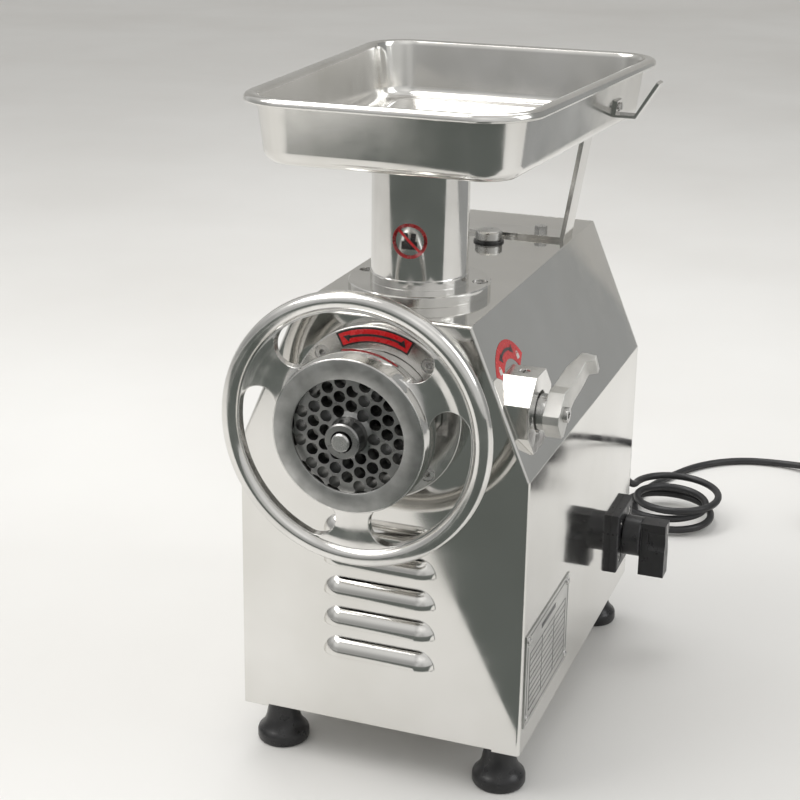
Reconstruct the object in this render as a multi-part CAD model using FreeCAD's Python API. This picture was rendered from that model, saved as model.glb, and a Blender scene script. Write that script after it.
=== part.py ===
import FreeCAD, Part
import math
import os

# Electric meat grinder, millimetres. The model is laid out in machine coordinates: x = 0 on the
# machine's middle plane, y = 0 on the front wall, z = 0 on the table. +X is the lock and switch side,
# +Y runs to the back and +Z is up. Every solid is moved to the row's origin when it is written.

V = FreeCAD.Vector
X_AXIS, Y_AXIS, Z_AXIS = V(1, 0, 0), V(0, 1, 0), V(0, 0, 1)

# ---------------------------------------------------------------- clearances
SEAT_GAP = 0.1
THREAD_GAP = 0.3
FLANGE_GAP = 0.3
HEAD_GAP = 0.3
JOURNAL_GAP = 0.05
PANEL_GAP = 0.2
SQUARE_GAP = 0.2
AUGER_GAP = 1.0
AIR_GAP = 0.6
GEAR_ROOM = 3.25
GEAR_BACKLASH = 0.35

# ---------------------------------------------------------------- housing
HOUSING_W = 210.0
HOUSING_D = 323.0
HOUSING_H = 307.0
FACET_H = 103.0
TOP_W = 124.0
SHEET = 1.5
EDGE_R = 2.4
FOOT_H = 37.0
RETURN_FLANGE = 13.0
TOE_W = 20.0
TOE_H = 1.5

HALF_W = HOUSING_W / 2
HALF_TOP = TOP_W / 2
BODY_Z = FOOT_H
KNEE_H = HOUSING_H - FACET_H
KNEE_Z = BODY_Z + KNEE_H
TOP_Z = BODY_Z + HOUSING_H
SHELL_D = HOUSING_D - SHEET
FACET_SLOPE = (HALF_W - HALF_TOP) / FACET_H

# rear panel
VENT_ROWS, VENT_PITCH = 6, 12.0
VENT_W, VENT_H = 90.0, 4.5
VENT_FIRST_Z = BODY_Z + 118.0
PANEL_SHANK_R, PANEL_HEAD_R, PANEL_HEAD_H, PANEL_SCREW_L = 2.0, 3.8, 2.4, 8.0

# base plate and feet
BASE_T = 2.0
BASE_Z = BODY_Z + TOE_H
BASE_TOP_Z = BASE_Z + BASE_T
SLOT_ROWS, SLOT_PITCH, SLOT_W = 9, 12.0, 5.0
SLOT_Y0, SLOT_Y1 = 150.0, 210.0
FOOT_RIM_R = 19.2
FOOT_NECK_R = 10.0
FOOT_RIM_H = 10.0
FOOT_INSET_X = 21.0
FOOT_INSET_Y = 24.0
FOOT_X = HALF_W - FOOT_INSET_X
FOOT_BOLT_R = 4.0
FOOT_BOLT_DEPTH = 20.0
FOOT_BOLT_FLATS, FOOT_BOLT_HEAD_H = 13.0, 5.3

# ---------------------------------------------------------------- grinding head, sized from its plate
PLATE_R = 41.0
PLATE_T = 10.0
PLATE_HOLE_R = 4.0
PLATE_PITCH = 9.8
PLATE_TURN = 3.0
PLATE_SEAT = 6.0
BOSS_R = 11.9
BOSS_LEN = 14.0
BOSS_BORE_R = 7.3
PIN_R = 6.2
PIN_PROUD = 3.0
KNIFE_T = 11.0
KNIFE_BLADES = 4
KNIFE_HUB_R = 14.0
KNIFE_TURN = 20.0
SQUARE = 14.0
SOCKET_DEPTH = 16.0
KEY_W, KEY_H, KEY_T = 5.0, 2.4, 8.0

# ring nut and its thread
NUT_FACE_Y = -61.0
NUT_LIP = 5.0
NUT_LEN = 24.0
NUT_WALL = 6.5
THREAD_R = PLATE_R + 5.0
THREAD_BACK_Y = -33.0
OUTLET_R = PLATE_R - 2.7
NUT_R = THREAD_R + NUT_WALL
PLATE_FRONT_Y = NUT_FACE_Y + NUT_LIP
PLATE_BACK_Y = PLATE_FRONT_Y + PLATE_T
KNIFE_BACK_Y = PLATE_BACK_Y + KNIFE_T
PIN_FRONT_Y = PLATE_FRONT_Y - BOSS_LEN - PIN_PROUD

# handwheel cast in one with the ring nut
WHEEL_REACH = 41.3
WHEEL_R = NUT_R + WHEEL_REACH
WHEEL_RIM = 12.8
WHEEL_FRONT_Y = -55.0
WHEEL_T = 13.0
WHEEL_BEVEL = 3.0
SPOKE_T = 9.0
SPOKES = 3
SPOKE_W = 24.0

# barrel
BARREL_WALL = 9.0
BARREL_BORE_R = PLATE_R - PLATE_SEAT
BARREL_R = BARREL_BORE_R + BARREL_WALL
BARREL_END_Y = 118.0
BARREL_REAR_WALL = 10.0

# feed screw
AUGER_CORE_R = 13.0
AUGER_PITCH = 33.0
AUGER_FLIGHT_T = 6.5
FLIGHT_START, FLIGHT_END = 1.0, 4.0
JOURNAL_R = 16.0
WASHER_R = 30.0
WASHER_T = 4.0
AUGER_FRONT_Y = KNIFE_BACK_Y + 0.5
WASHER_Y = BARREL_END_Y - BARREL_REAR_WALL - WASHER_T
AUGER_BACK_Y = WASHER_Y - 0.3

# mounting ring outside the front wall and the barrel's own ring inside it
FLANGE_R = BARREL_R + 16.5
FLANGE_T = 12.0
FLANGE_SCREW_R = BARREL_R + 9.2
FLANGE_SCREWS = 4
FLANGE_SLOT_W = 7.0
FLANGE_SLOT_H = 17.0
FLANGE_SLOT_X = BARREL_R + FLANGE_SLOT_W / 2
FLANGE_SHANK_R, FLANGE_HEAD_R, FLANGE_HEAD_H = 3.0, 5.0, 5.5
INNER_RING_R = FLANGE_R - 0.5
INNER_RING_T = 8.0

# ---------------------------------------------------------------- gears and the gearbox's outer radius
STAGE1_MODULE = 2.0
STAGE1_PINION, STAGE1_GEAR = 14, 44
STAGE2_MODULE = 2.5
STAGE2_PINION, STAGE2_GEAR = 15, 38
PRESSURE_ANGLE = 20.0
ADDENDUM, DEDENDUM = 0.9, 1.2
CASE_WALL = 6.0
STAGE1_TIP_R = STAGE1_MODULE * (STAGE1_GEAR / 2 + ADDENDUM)
STAGE2_TIP_R = STAGE2_MODULE * (STAGE2_GEAR / 2 + ADDENDUM)
CASE_R = max(STAGE1_TIP_R, STAGE2_TIP_R) + GEAR_ROOM + CASE_WALL

# the head's axis hangs below the housing's top by its largest round piece
HEAD_ROOM = 3.5
AXIS_Z = TOP_Z - max(FLANGE_R, CASE_R + SHEET) - HEAD_ROOM
MID_Z = AXIS_Z - STAGE2_MODULE * (STAGE2_PINION + STAGE2_GEAR) / 2
MOTOR_Z = MID_Z - STAGE1_MODULE * (STAGE1_PINION + STAGE1_GEAR) / 2

# ---------------------------------------------------------------- louvres of the front wall, below the head
LOUVRE_COUNT = 5
LOUVRE_PITCH = 23.3
LOUVRE_W = 83.0
LOUVRE_H = 13.0
LOUVRE_PROUD = 7.0
LOUVRE_WALL = 1.2
LOUVRE_DROP = 34.8
LOUVRE_TOP_Z = AXIS_Z - FLANGE_R - LOUVRE_DROP
LOUVRE_ARC_R = (LOUVRE_H ** 2 + LOUVRE_PROUD ** 2) / (2 * LOUVRE_PROUD)

# ---------------------------------------------------------------- feed tube
TUBE_Y = 73.3
TUBE_R = 33.9
TUBE_WALL = 2.9
TUBE_LEN = 97.0
TUBE_FLANGE_R = TUBE_R + 15.9
TUBE_FLANGE_T = 7.5
TUBE_COLLAR_H = 6.0
TUBE_COLLAR_GROW = 0.5
THROAT_R = TUBE_R + 5.1
THROAT_FLANGE_T = 8.0
SPIGOT_DEPTH = 14.0
TUBE_BOLT_X = TUBE_R + 8.7
TUBE_BOLT_TURN = 10.0
TUBE_BOLT_SEAT = 2.0
TUBE_SHANK_R, TUBE_HEAD_R, TUBE_HEAD_H = 3.0, 5.2, 4.0

# ---------------------------------------------------------------- tray
TRAY_FRONT_Y = TUBE_Y - 98.0
TRAY_BACK_Y = TUBE_Y + 228.3
TRAY_FRONT_HALF = 99.6
TRAY_BACK_HALF = 119.6
TRAY_CORNER_R = 38.0
TRAY_DEPTH = 45.0
TRAY_SHEET = 1.2
TRAY_RIM_W = 9.0
TRAY_WALL_TAPER = 4.5
TRAY_FLOOR_R = 9.0
TRAY_BEAD_H = 5.0
TRAY_SPIGOT_GAP = 0.3
TRAY_SPIGOT_LEN = 18.0
TRAY_FLOOR_Z = TOP_Z + TUBE_LEN
TRAY_RIM_Z = TRAY_FLOOR_Z + TRAY_DEPTH
TRAY_SLOPE = (TRAY_BACK_HALF - TRAY_FRONT_HALF) / (TRAY_BACK_Y - TRAY_FRONT_Y)

# hook strip on the tray's right wall
HOOK_Y = 210.0
HOOK_W = 14.0
HOOK_T = 2.0
HOOK_REACH = 17.0
HOOK_RISE = 26.0
HOOK_LEAN = 58.0
HOOK_PAD_H = 12.0
HOOK_RIVET_R, HOOK_RIVET_HEAD_R = 1.5, 2.6
HOOK_Z = TRAY_FLOOR_Z + TRAY_FLOOR_R + 1

# ---------------------------------------------------------------- gearbox
CASE_Y0 = BARREL_END_Y + 32.0
CASE_Y1 = CASE_Y0 + 80.0
STAGE1_Y0, STAGE1_W = CASE_Y0 + 15.0, 16.0
STAGE2_Y0, STAGE2_W = CASE_Y0 + 36.0, 22.0
COVER_T = 8.0
NOSE_R = 40.0
SHAFT_R = 15.0
SHAFT_REAR_R = 10.0
FRONT_BEARING_R = 31.0
FRONT_BEARING_W = 16.0
FRONT_BEARING_Y = BARREL_END_Y + 10.0
REAR_BEARING_R = 23.5
REAR_BEARING_W = 14.0
MID_JOURNAL_R = 8.0
MID_BEARING_R = 17.0
MID_BEARING_W = 10.0
MID_FRONT_BEARING_Y = CASE_Y0 + 2.0
COVER_SHANK_R, COVER_HEAD_R, COVER_HEAD_H = 2.5, 4.2, 5.0
COVER_SCREW_GRIP = 10.0

# ---------------------------------------------------------------- motor
MOTOR_R = 54.0
MOTOR_WALL = 4.0
MOTOR_CAP_T = 10.0
MOTOR_Y0 = CASE_Y0 - 98.0
STATOR_Y0, STATOR_Y1 = MOTOR_Y0 + 16.0, MOTOR_Y0 + 76.0
ROTOR_R = 32.0
MOTOR_SHAFT_R = 8.0
MOTOR_BEARING_R = 17.5
COVER_VENTS, COVER_VENT_R, COVER_VENT_RING = 8, 6.0, 34.0
FAN_R = 46.0
FAN_HUB_R = 18.0
FAN_Y0, FAN_W = MOTOR_Y0 - 24.0, 12.0
FAN_BLADES, FAN_BLADE_T = 9, 2.4
CRADLE_Y0, CRADLE_Y1 = MOTOR_Y0 + 22.0, MOTOR_Y0 + 72.0
CRADLE_HALF = 42.0
CRADLE_WALL = 6.0
CRADLE_HUG = 0.72

# ---------------------------------------------------------------- electrical pieces
CAPACITOR_R = 17.0
CAPACITOR_L = 68.0
CAPACITOR_SIDE_ROOM = 15.0
CAPACITOR_X = CAPACITOR_R + CAPACITOR_SIDE_ROOM - HALF_W
CAPACITOR_Y1 = HOUSING_D - 31.0
CLIP_W = 20.0
TERMINALS, TERMINAL_PITCH, TERMINAL_R = 5, 11.0, 3.0
TERMINAL_L, TERMINAL_W, TERMINAL_H = 60.0, 20.0, 18.0
TERMINAL_X, TERMINAL_Y = 10.0, HOUSING_D - 28.0

# ---------------------------------------------------------------- oil filler cap over the gearbox's neck
CAP_X = 4.0
CAP_R = 10.5
CAP_H = 8.0
CAP_WASHER_R = 11.8
CAP_WASHER_T = 1.2
CAP_NECK_R = 6.0
NECK_WALL = 2.0
CAP_Y = CASE_Y1 - CAP_NECK_R - NECK_WALL

# ---------------------------------------------------------------- support bracket under the tray
BRACKET_Y = CAP_Y + 35.0
BRACKET_W = 26.0
BRACKET_T = 3.0
BRACKET_X0 = -HALF_TOP
BRACKET_X1 = HALF_TOP - 4.0
BRACKET_LEAN = 15.0
BRACKET_PAD = 16.0
BRACKET_BOLT_X = HALF_TOP - 26.0
BRACKET_SHANK_R, BRACKET_BOLT_L = 3.0, 16.0
BRACKET_BOLT_FLATS, BRACKET_BOLT_HEAD_H = 9.0, 5.0
TRAY_REST_GAP = 0.3

# ---------------------------------------------------------------- lock block and lever on the right facet
LOCK_Y = 33.5
BLOCK_FLATS = 54.0
BLOCK_PROUD = 12.3
BLOCK_RECESS_R = 14.5
BLOCK_RECESS = 5.0
LOCK_SHAFT_R = 8.0
LOCK_TAIL_R = 6.0
LOCK_TAIL_L = 5.0
LOCK_COLLAR_R = 12.6
LOCK_HUB_OUT = 6.0
LOCK_HUB_T = 11.0
LEVER_TILT = 40.0
LEVER_LEN = 44.0
LEVER_LIP_OUT = 24.0
TOP_SCREW_R, TOP_SCREW_BACK, TOP_SCREW_L = 4.0, 12.0, 12.0
SIDE_SCREW_R, SIDE_SCREW_DEPTH = 3.6, 2.5
BLOCK_FACE_X = HALF_TOP + (TOP_Z - AXIS_Z) * FACET_SLOPE + BLOCK_PROUD
LOCK_HUB_X = BLOCK_FACE_X + LOCK_HUB_OUT
LEVER_LIP_X = LOCK_HUB_X + LEVER_LIP_OUT
TOP_SCREW_X = BLOCK_FACE_X - TOP_SCREW_BACK

# ---------------------------------------------------------------- rotary switch on the right side
SWITCH_Y = HOUSING_D - 41.0
SWITCH_Z = BODY_Z + 53.0
BEZEL = 50.0
BEZEL_T = 6.5
KNOB_STANDOFF = 1.2
KNOB_BASE_R = 16.5
KNOB_BASE_X = HALF_W + 22.0
KNOB_FRONT_X = HALF_W + 42.0
KNOB_BAR_W = 16.0
KNOB_UP = 15.0
KNOB_DOWN = 31.0
KNOB_GRIP_R, KNOB_GRIP_BITE = 14.0, 2.5
KNOB_SHAFT_R = 4.0
KNOB_SHAFT_L = 19.0
SWITCH_BODY = 42.0
SWITCH_BODY_L = 44.0
SWITCH_SCREW_R, SWITCH_SCREW_SINK = 2.0, 2.8

# ---------------------------------------------------------------- nameplate
NAMEPLATE_Y0, NAMEPLATE_Y1 = 6.5, 119.0
NAMEPLATE_Z0, NAMEPLATE_Z1 = BODY_Z + 18.5, BODY_Z + 89.0
NAMEPLATE_T = 0.8
NAMEPLATE_INSET = 5.3
RIVET_SHANK_R = 1.6

# ---------------------------------------------------------------- power cord
GLAND_X, GLAND_Z = 60.0, BODY_Z + 72.0
GLAND_R = 10.0
GLAND_OUT = 9.0
CORD_D = 7.0
CORD_R = CORD_D / 2
TABLE_GAP = 0.1
RELIEF_LEN = 30.0
RELIEF_R0, RELIEF_R1 = 6.6, 4.6
BUNDLE_AT = V(104, 536, 0)
BUNDLE_R, BUNDLE_TUBE = 38.0, 13.0
COIL_AT = V(292, 655, 0)
COIL_R, COIL_TUBE_W, COIL_H = 38.5, 8.0, 16.0
PLUG_L, PLUG_W, PLUG_H, PLUG_EDGE = 38.0, 34.0, 26.0, 5.0
PLUG_SIDE = 28.0
CONTACT = 0.3
PLUG_SLEEVE_R, PLUG_SLEEVE_L = 5.2, 22.0
PLUG_PIN_R, PLUG_PIN_L, PLUG_PIN_X, PLUG_PIN_Z = 2.4, 19.0, 9.5, 14.0

# the row's origin: middle of the machine's box on the table, cord left out
BACK_Y = HOUSING_D + GLAND_OUT
ORIGIN = V((KNOB_FRONT_X - TRAY_BACK_HALF) / 2, (BACK_Y + PIN_FRONT_Y) / 2, 0)


# ================================================================ helpers
def box(x0, x1, y0, y1, z0, z1):
    return Part.makeBox(x1 - x0, y1 - y0, z1 - z0, V(x0, y0, z0))


def rod(radius, start, end):
    """Cylinder from start to end."""
    along = end - start
    return Part.makeCylinder(radius, along.Length, start, along)


def rod_y(radius, y0, y1, x=0.0, z=AXIS_Z):
    return rod(radius, V(x, y0, z), V(x, y1, z))


def tube_y(outer, inner, y0, y1, x=0.0, z=AXIS_Z):
    return rod_y(outer, y0, y1, x, z).cut(rod_y(inner, y0 - 1, y1 + 1, x, z))


def prism(points, along):
    """Closed polygon of points swept along a vector."""
    return Part.Face(Part.makePolygon(points + [points[0]])).extrude(along)


def turned(profile, base, axis):
    """Solid of revolution; profile lists (radius, distance along axis)."""
    side = X_AXIS if abs(axis.x) < 0.5 else Z_AXIS
    points = [base + side * r + axis * a for r, a in profile]
    face = Part.Face(Part.makePolygon(points + [points[0]]))
    return face.revolve(base, axis, 360)


def fused(shapes):
    """One clean solid from touching shapes."""
    return shapes[0].multiFuse(shapes[1:]).removeSplitter()


def around_y(shape, degrees, x=0.0, z=AXIS_Z):
    copy = shape.copy()
    copy.rotate(V(x, 0, z), Y_AXIS, degrees)
    return copy


def save(node, *shapes):
    """Writes one node, moved to the row's origin."""
    group = Part.makeCompound([s.copy() for s in shapes]) if len(shapes) > 1 else shapes[0].copy()
    group.translate(ORIGIN * -1)
    group.exportStep("parts/" + node + ".step")


def hexagon_bolt(base, axis, shank_r, shank_l, across, head_h):
    """Hexagon bolt: the head stands from base along axis, the shank goes the other way."""
    side = Y_AXIS if abs(axis.z) > 0.5 else Z_AXIS
    corner = side * (across / math.sqrt(3))
    points = []
    for turn in range(6):
        points.append(base + FreeCAD.Rotation(axis, 60 * turn).multVec(corner))
    head = prism(points, axis * head_h)
    return fused([head, rod(shank_r, base, base - axis * shank_l)])


def socket_screw(base, axis, shank_r, shank_l, head_r, head_h):
    """Socket head screw: the head stands from base along axis, the shank goes the other way."""
    head = fused([rod(head_r, base, base + axis * head_h), rod(shank_r, base, base - axis * shank_l)])
    socket_r = head_r * 0.45
    return head.cut(rod(socket_r, base + axis * (head_h * 0.4), base + axis * (head_h + 1)))


# ================================================================ housing
def housing_outline(inset, y, bottom=BODY_Z):
    """Corner points of the housing's section, drawn in by a wall."""
    half_top = HALF_TOP - inset * (math.sqrt(1 + FACET_SLOPE ** 2) - FACET_SLOPE)
    knee = KNEE_Z - inset * (math.sqrt(1 + FACET_SLOPE ** 2) - 1) / FACET_SLOPE
    half = HALF_W - inset
    top = TOP_Z - inset
    return [V(half, y, bottom), V(half, y, knee), V(half_top, y, top),
            V(-half_top, y, top), V(-half, y, knee), V(-half, y, bottom)]


def louvre_capsule(radius, z):
    """Round-ended bar behind the front wall whose front stands proud as a hood."""
    back = LOUVRE_ARC_R - LOUVRE_PROUD
    half = LOUVRE_W / 2 - LOUVRE_H
    ends = [V(-half, back, z), V(half, back, z)]
    balls = [Part.makeSphere(radius, end) for end in ends]
    return fused([rod(radius, ends[0], ends[1])] + balls)


def facet_x(z):
    """Outer surface of the right facet at a height."""
    return HALF_TOP + (TOP_Z - z) * FACET_SLOPE


def housing_shell():
    outer = prism(housing_outline(0, 0), Y_AXIS * SHELL_D)
    front_edges = [e for e in outer.Edges if e.BoundBox.YMax < 0.01 and e.BoundBox.ZMax > BODY_Z + 1]
    outer = outer.makeFillet(EDGE_R, front_edges)
    cavity = prism(housing_outline(SHEET, SHEET, BODY_Z - 1), Y_AXIS * (SHELL_D - 2 * SHEET))
    mouth = prism(housing_outline(RETURN_FLANGE, 0, BODY_Z - 1), Y_AXIS * (SHELL_D + 1))
    mouth = mouth.common(box(-HALF_W, HALF_W, SHELL_D / 2, SHELL_D + 1, 0, TOP_Z))
    toe = box(-HALF_W + TOE_W, HALF_W - TOE_W, -1, SHEET + 1, BODY_Z - 1, BODY_Z + TOE_H)
    shell = outer.cut(cavity).cut(mouth).cut(toe)
    hoods = []
    slots = []
    for row in range(LOUVRE_COUNT):
        z = LOUVRE_TOP_Z - row * LOUVRE_PITCH
        front = box(-LOUVRE_W, LOUVRE_W, -LOUVRE_PROUD - 1, SHEET / 2, z, z + LOUVRE_H + 2)
        through = box(-LOUVRE_W, LOUVRE_W, -LOUVRE_PROUD, SHEET + 1, z - 1, z + LOUVRE_H + 2)
        hoods.append(louvre_capsule(LOUVRE_ARC_R, z).common(front))
        slots.append(louvre_capsule(LOUVRE_ARC_R - LOUVRE_WALL, z).common(through))
    shell = fused([shell] + hoods).cut(Part.makeCompound(slots))
    holes = [rod_y(BARREL_R + FLANGE_GAP, -1, SHEET + 1)]
    holes.append(rod(TUBE_R + FLANGE_GAP, V(0, TUBE_Y, TOP_Z - 5), V(0, TUBE_Y, TOP_Z + 1)))
    holes.append(rod(CAP_NECK_R + FLANGE_GAP, V(CAP_X, CAP_Y, TOP_Z - 5), V(CAP_X, CAP_Y, TOP_Z + 1)))
    lock_z0 = V(facet_x(AXIS_Z) - 20, LOCK_Y, AXIS_Z)
    holes.append(rod(LOCK_SHAFT_R + 1, lock_z0, lock_z0 + X_AXIS * 40))
    switch_side = V(HALF_W - 5, SWITCH_Y, SWITCH_Z)
    holes.append(rod(KNOB_SHAFT_R + 2, switch_side, switch_side + X_AXIS * 10))
    for x, z in flange_screw_places():
        holes.append(rod_y(FLANGE_SHANK_R + SEAT_GAP, -1, SHEET + 1, x, z))
    for x, y in tube_bolt_places():
        holes.append(rod(TUBE_SHANK_R + SEAT_GAP, V(x, y, TOP_Z - 5), V(x, y, TOP_Z + 1)))
    for x, z in panel_screw_places():
        holes.append(rod_y(PANEL_SHANK_R + SEAT_GAP, SHELL_D - 5, SHELL_D + 1, x, z))
    for y, z in rivet_places():
        holes.append(rod(RIVET_SHANK_R + SEAT_GAP, V(HALF_W - 4, y, z), V(HALF_W + 1, y, z)))
    for y, z in switch_screw_places():
        holes.append(rod(SWITCH_SCREW_R + SEAT_GAP, V(HALF_W - 4, y, z), V(HALF_W + 1, y, z)))
    holes.append(rod(BRACKET_SHANK_R + SEAT_GAP, V(BRACKET_BOLT_X, BRACKET_Y, TOP_Z - 5),
                     V(BRACKET_BOLT_X, BRACKET_Y, TOP_Z + 1)))
    return shell.cut(Part.makeCompound(holes))


def panel_screw_places():
    """Six screws of the rear panel, as x and z."""
    half = HALF_W - RETURN_FLANGE / 2
    places = [(s * half, BODY_Z + dz) for s in (-1, 1) for dz in (18.0, KNEE_H - 22.0)]
    places += [(s * (HALF_TOP - 20), TOP_Z - RETURN_FLANGE / 2) for s in (-1, 1)]
    return places


def rear_panel():
    panel = prism(housing_outline(0, SHELL_D), Y_AXIS * SHEET)
    cuts = []
    for x, z in panel_screw_places():
        cuts.append(rod_y(PANEL_SHANK_R + SEAT_GAP, SHELL_D - 1, HOUSING_D + 1, x, z))
    for row in range(VENT_ROWS):
        z = VENT_FIRST_Z + row * VENT_PITCH
        cuts.append(box(-VENT_W / 2, VENT_W / 2, SHELL_D - 1, HOUSING_D + 1, z, z + VENT_H))
    cuts.append(rod_y(GLAND_R - 2, SHELL_D - 1, HOUSING_D + 1, GLAND_X, GLAND_Z))
    return panel.cut(Part.makeCompound(cuts))


def panel_screws():
    screws = []
    for x, z in panel_screw_places():
        screws.append(socket_screw(V(x, HOUSING_D, z), Y_AXIS, PANEL_SHANK_R, PANEL_SCREW_L,
                                   PANEL_HEAD_R, PANEL_HEAD_H))
    return screws


def base_plate():
    inner = HALF_W - SHEET - PANEL_GAP
    plate = box(-inner, inner, SHEET + PANEL_GAP, SHELL_D - SHEET - PANEL_GAP, BASE_Z, BASE_TOP_Z)
    cuts = [rod(FOOT_BOLT_R + SEAT_GAP, V(x, y, BASE_Z - 1), V(x, y, BASE_TOP_Z + 1))
            for x, y in foot_places().values()]
    for column in range(SLOT_ROWS):
        x0 = (column - (SLOT_ROWS - 1) / 2) * SLOT_PITCH - SLOT_W / 2
        cuts.append(box(x0, x0 + SLOT_W, SLOT_Y0, SLOT_Y1, BASE_Z - 1, BASE_TOP_Z + 1))
    return plate.cut(Part.makeCompound(cuts))


def foot_places():
    """Centre of each foot, as x and y, under the name of its corner."""
    front, back = FOOT_INSET_Y, HOUSING_D - FOOT_INSET_Y
    return {"front_right": (FOOT_X, front), "front_left": (-FOOT_X, front),
            "back_right": (FOOT_X, back), "back_left": (-FOOT_X, back)}


def foot(x, y):
    profile = [(0, 0), (FOOT_RIM_R - 2.5, 0), (FOOT_RIM_R - 0.7, 0.8), (FOOT_RIM_R, 2.6),
               (FOOT_RIM_R, FOOT_RIM_H), (FOOT_RIM_R - 1.2, FOOT_RIM_H + 2.4),
               (FOOT_NECK_R + 1, FOOT_H - 6), (FOOT_NECK_R, FOOT_H - 3), (FOOT_NECK_R, BASE_Z), (0, BASE_Z)]
    solid = turned(profile, V(x, y, 0), Z_AXIS)
    bore = rod(FOOT_BOLT_R, V(x, y, BASE_Z - FOOT_BOLT_DEPTH), V(x, y, BASE_Z + 1))
    return solid.cut(bore)


def foot_bolts():
    bolts = []
    for x, y in foot_places().values():
        bolts.append(hexagon_bolt(V(x, y, BASE_TOP_Z), Z_AXIS, FOOT_BOLT_R, BASE_T + FOOT_BOLT_DEPTH,
                                  FOOT_BOLT_FLATS, FOOT_BOLT_HEAD_H))
    return bolts


# ================================================================ grinding head
def flange_screw_places():
    """Screws of the mounting ring, as x and z."""
    angles = [math.radians(45 + 360 / FLANGE_SCREWS * n) for n in range(FLANGE_SCREWS)]
    return [(FLANGE_SCREW_R * math.cos(a), AXIS_Z + FLANGE_SCREW_R * math.sin(a)) for a in angles]


def tube_bolt_places():
    """Bolts of the feed tube's flange, as x and y."""
    angles = [math.radians(a) for a in (TUBE_BOLT_TURN, 180 - TUBE_BOLT_TURN)]
    return [(TUBE_BOLT_X * math.cos(a), TUBE_Y + TUBE_BOLT_X * math.sin(a)) for a in angles]


def front_flange():
    ring = tube_y(FLANGE_R, BARREL_R + FLANGE_GAP, -FLANGE_T, 0)
    edges = [e for e in ring.Edges if abs(e.BoundBox.YMax + FLANGE_T) < 0.01
             and e.BoundBox.XMax > FLANGE_R - 1]
    ring = ring.makeFillet(1.2, edges)
    cuts = []
    for x, z in flange_screw_places():
        cuts.append(rod_y(FLANGE_SHANK_R + SEAT_GAP, -FLANGE_T - 1, 1, x, z))
        cuts.append(rod_y(FLANGE_HEAD_R + HEAD_GAP, -FLANGE_T - 1, -FLANGE_T + FLANGE_HEAD_H + HEAD_GAP, x, z))
    half_h = FLANGE_SLOT_H / 2
    cuts.append(box(FLANGE_SLOT_X - FLANGE_SLOT_W / 2, FLANGE_SLOT_X + FLANGE_SLOT_W / 2,
                    -FLANGE_T - 1, -2, AXIS_Z - half_h, AXIS_Z + half_h))
    return ring.cut(Part.makeCompound(cuts))


def flange_screws():
    screws = []
    for x, z in flange_screw_places():
        base = V(x, -FLANGE_T + FLANGE_HEAD_H + HEAD_GAP, z)
        length = FLANGE_T - FLANGE_HEAD_H - HEAD_GAP + SHEET + INNER_RING_T - 1
        screws.append(socket_screw(base, -Y_AXIS, FLANGE_SHANK_R, length, FLANGE_HEAD_R, FLANGE_HEAD_H))
    return screws


def grinder_barrel():
    body = [rod_y(THREAD_R, PLATE_FRONT_Y + 0.5, THREAD_BACK_Y), rod_y(BARREL_R, THREAD_BACK_Y, BARREL_END_Y)]
    body.append(rod_y(INNER_RING_R, SHEET, SHEET + INNER_RING_T))
    throat_top = TOP_Z - SHEET
    body.append(rod(THROAT_R, V(0, TUBE_Y, AXIS_Z), V(0, TUBE_Y, throat_top)))
    body.append(rod(TUBE_FLANGE_R, V(0, TUBE_Y, throat_top - THROAT_FLANGE_T), V(0, TUBE_Y, throat_top)))
    solid = fused(body)
    cuts = [rod_y(PLATE_R + SEAT_GAP, PLATE_FRONT_Y - 1, PLATE_BACK_Y)]
    cuts.append(rod_y(BARREL_BORE_R, PLATE_BACK_Y - 1, BARREL_END_Y - BARREL_REAR_WALL))
    cuts.append(rod_y(JOURNAL_R + JOURNAL_GAP, BARREL_END_Y - 20, BARREL_END_Y + 1))
    cuts.append(rod(TUBE_R - TUBE_WALL, V(0, TUBE_Y, AXIS_Z), V(0, TUBE_Y, throat_top + 1)))
    cuts.append(rod(TUBE_R + SEAT_GAP, V(0, TUBE_Y, TOP_Z - SPIGOT_DEPTH), V(0, TUBE_Y, throat_top + 1)))
    for x, z in flange_screw_places():
        cuts.append(rod_y(FLANGE_SHANK_R, SHEET - 1, SHEET + INNER_RING_T - 0.5, x, z))
    for x, y in tube_bolt_places():
        cuts.append(rod(TUBE_SHANK_R, V(x, y, throat_top - THROAT_FLANGE_T + 1), V(x, y, throat_top + 1)))
    cuts.append(key_box(SEAT_GAP))
    return solid.cut(Part.makeCompound(cuts))


def key_box(grow):
    """Key at the bottom edge of the grinder plate."""
    bottom = AXIS_Z - PLATE_R - KEY_H
    return box(-KEY_W / 2 - grow, KEY_W / 2 + grow, PLATE_FRONT_Y + 1 - grow, PLATE_FRONT_Y + 1 + KEY_T + grow,
               bottom - grow, bottom + 2 * KEY_H + grow)


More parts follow.
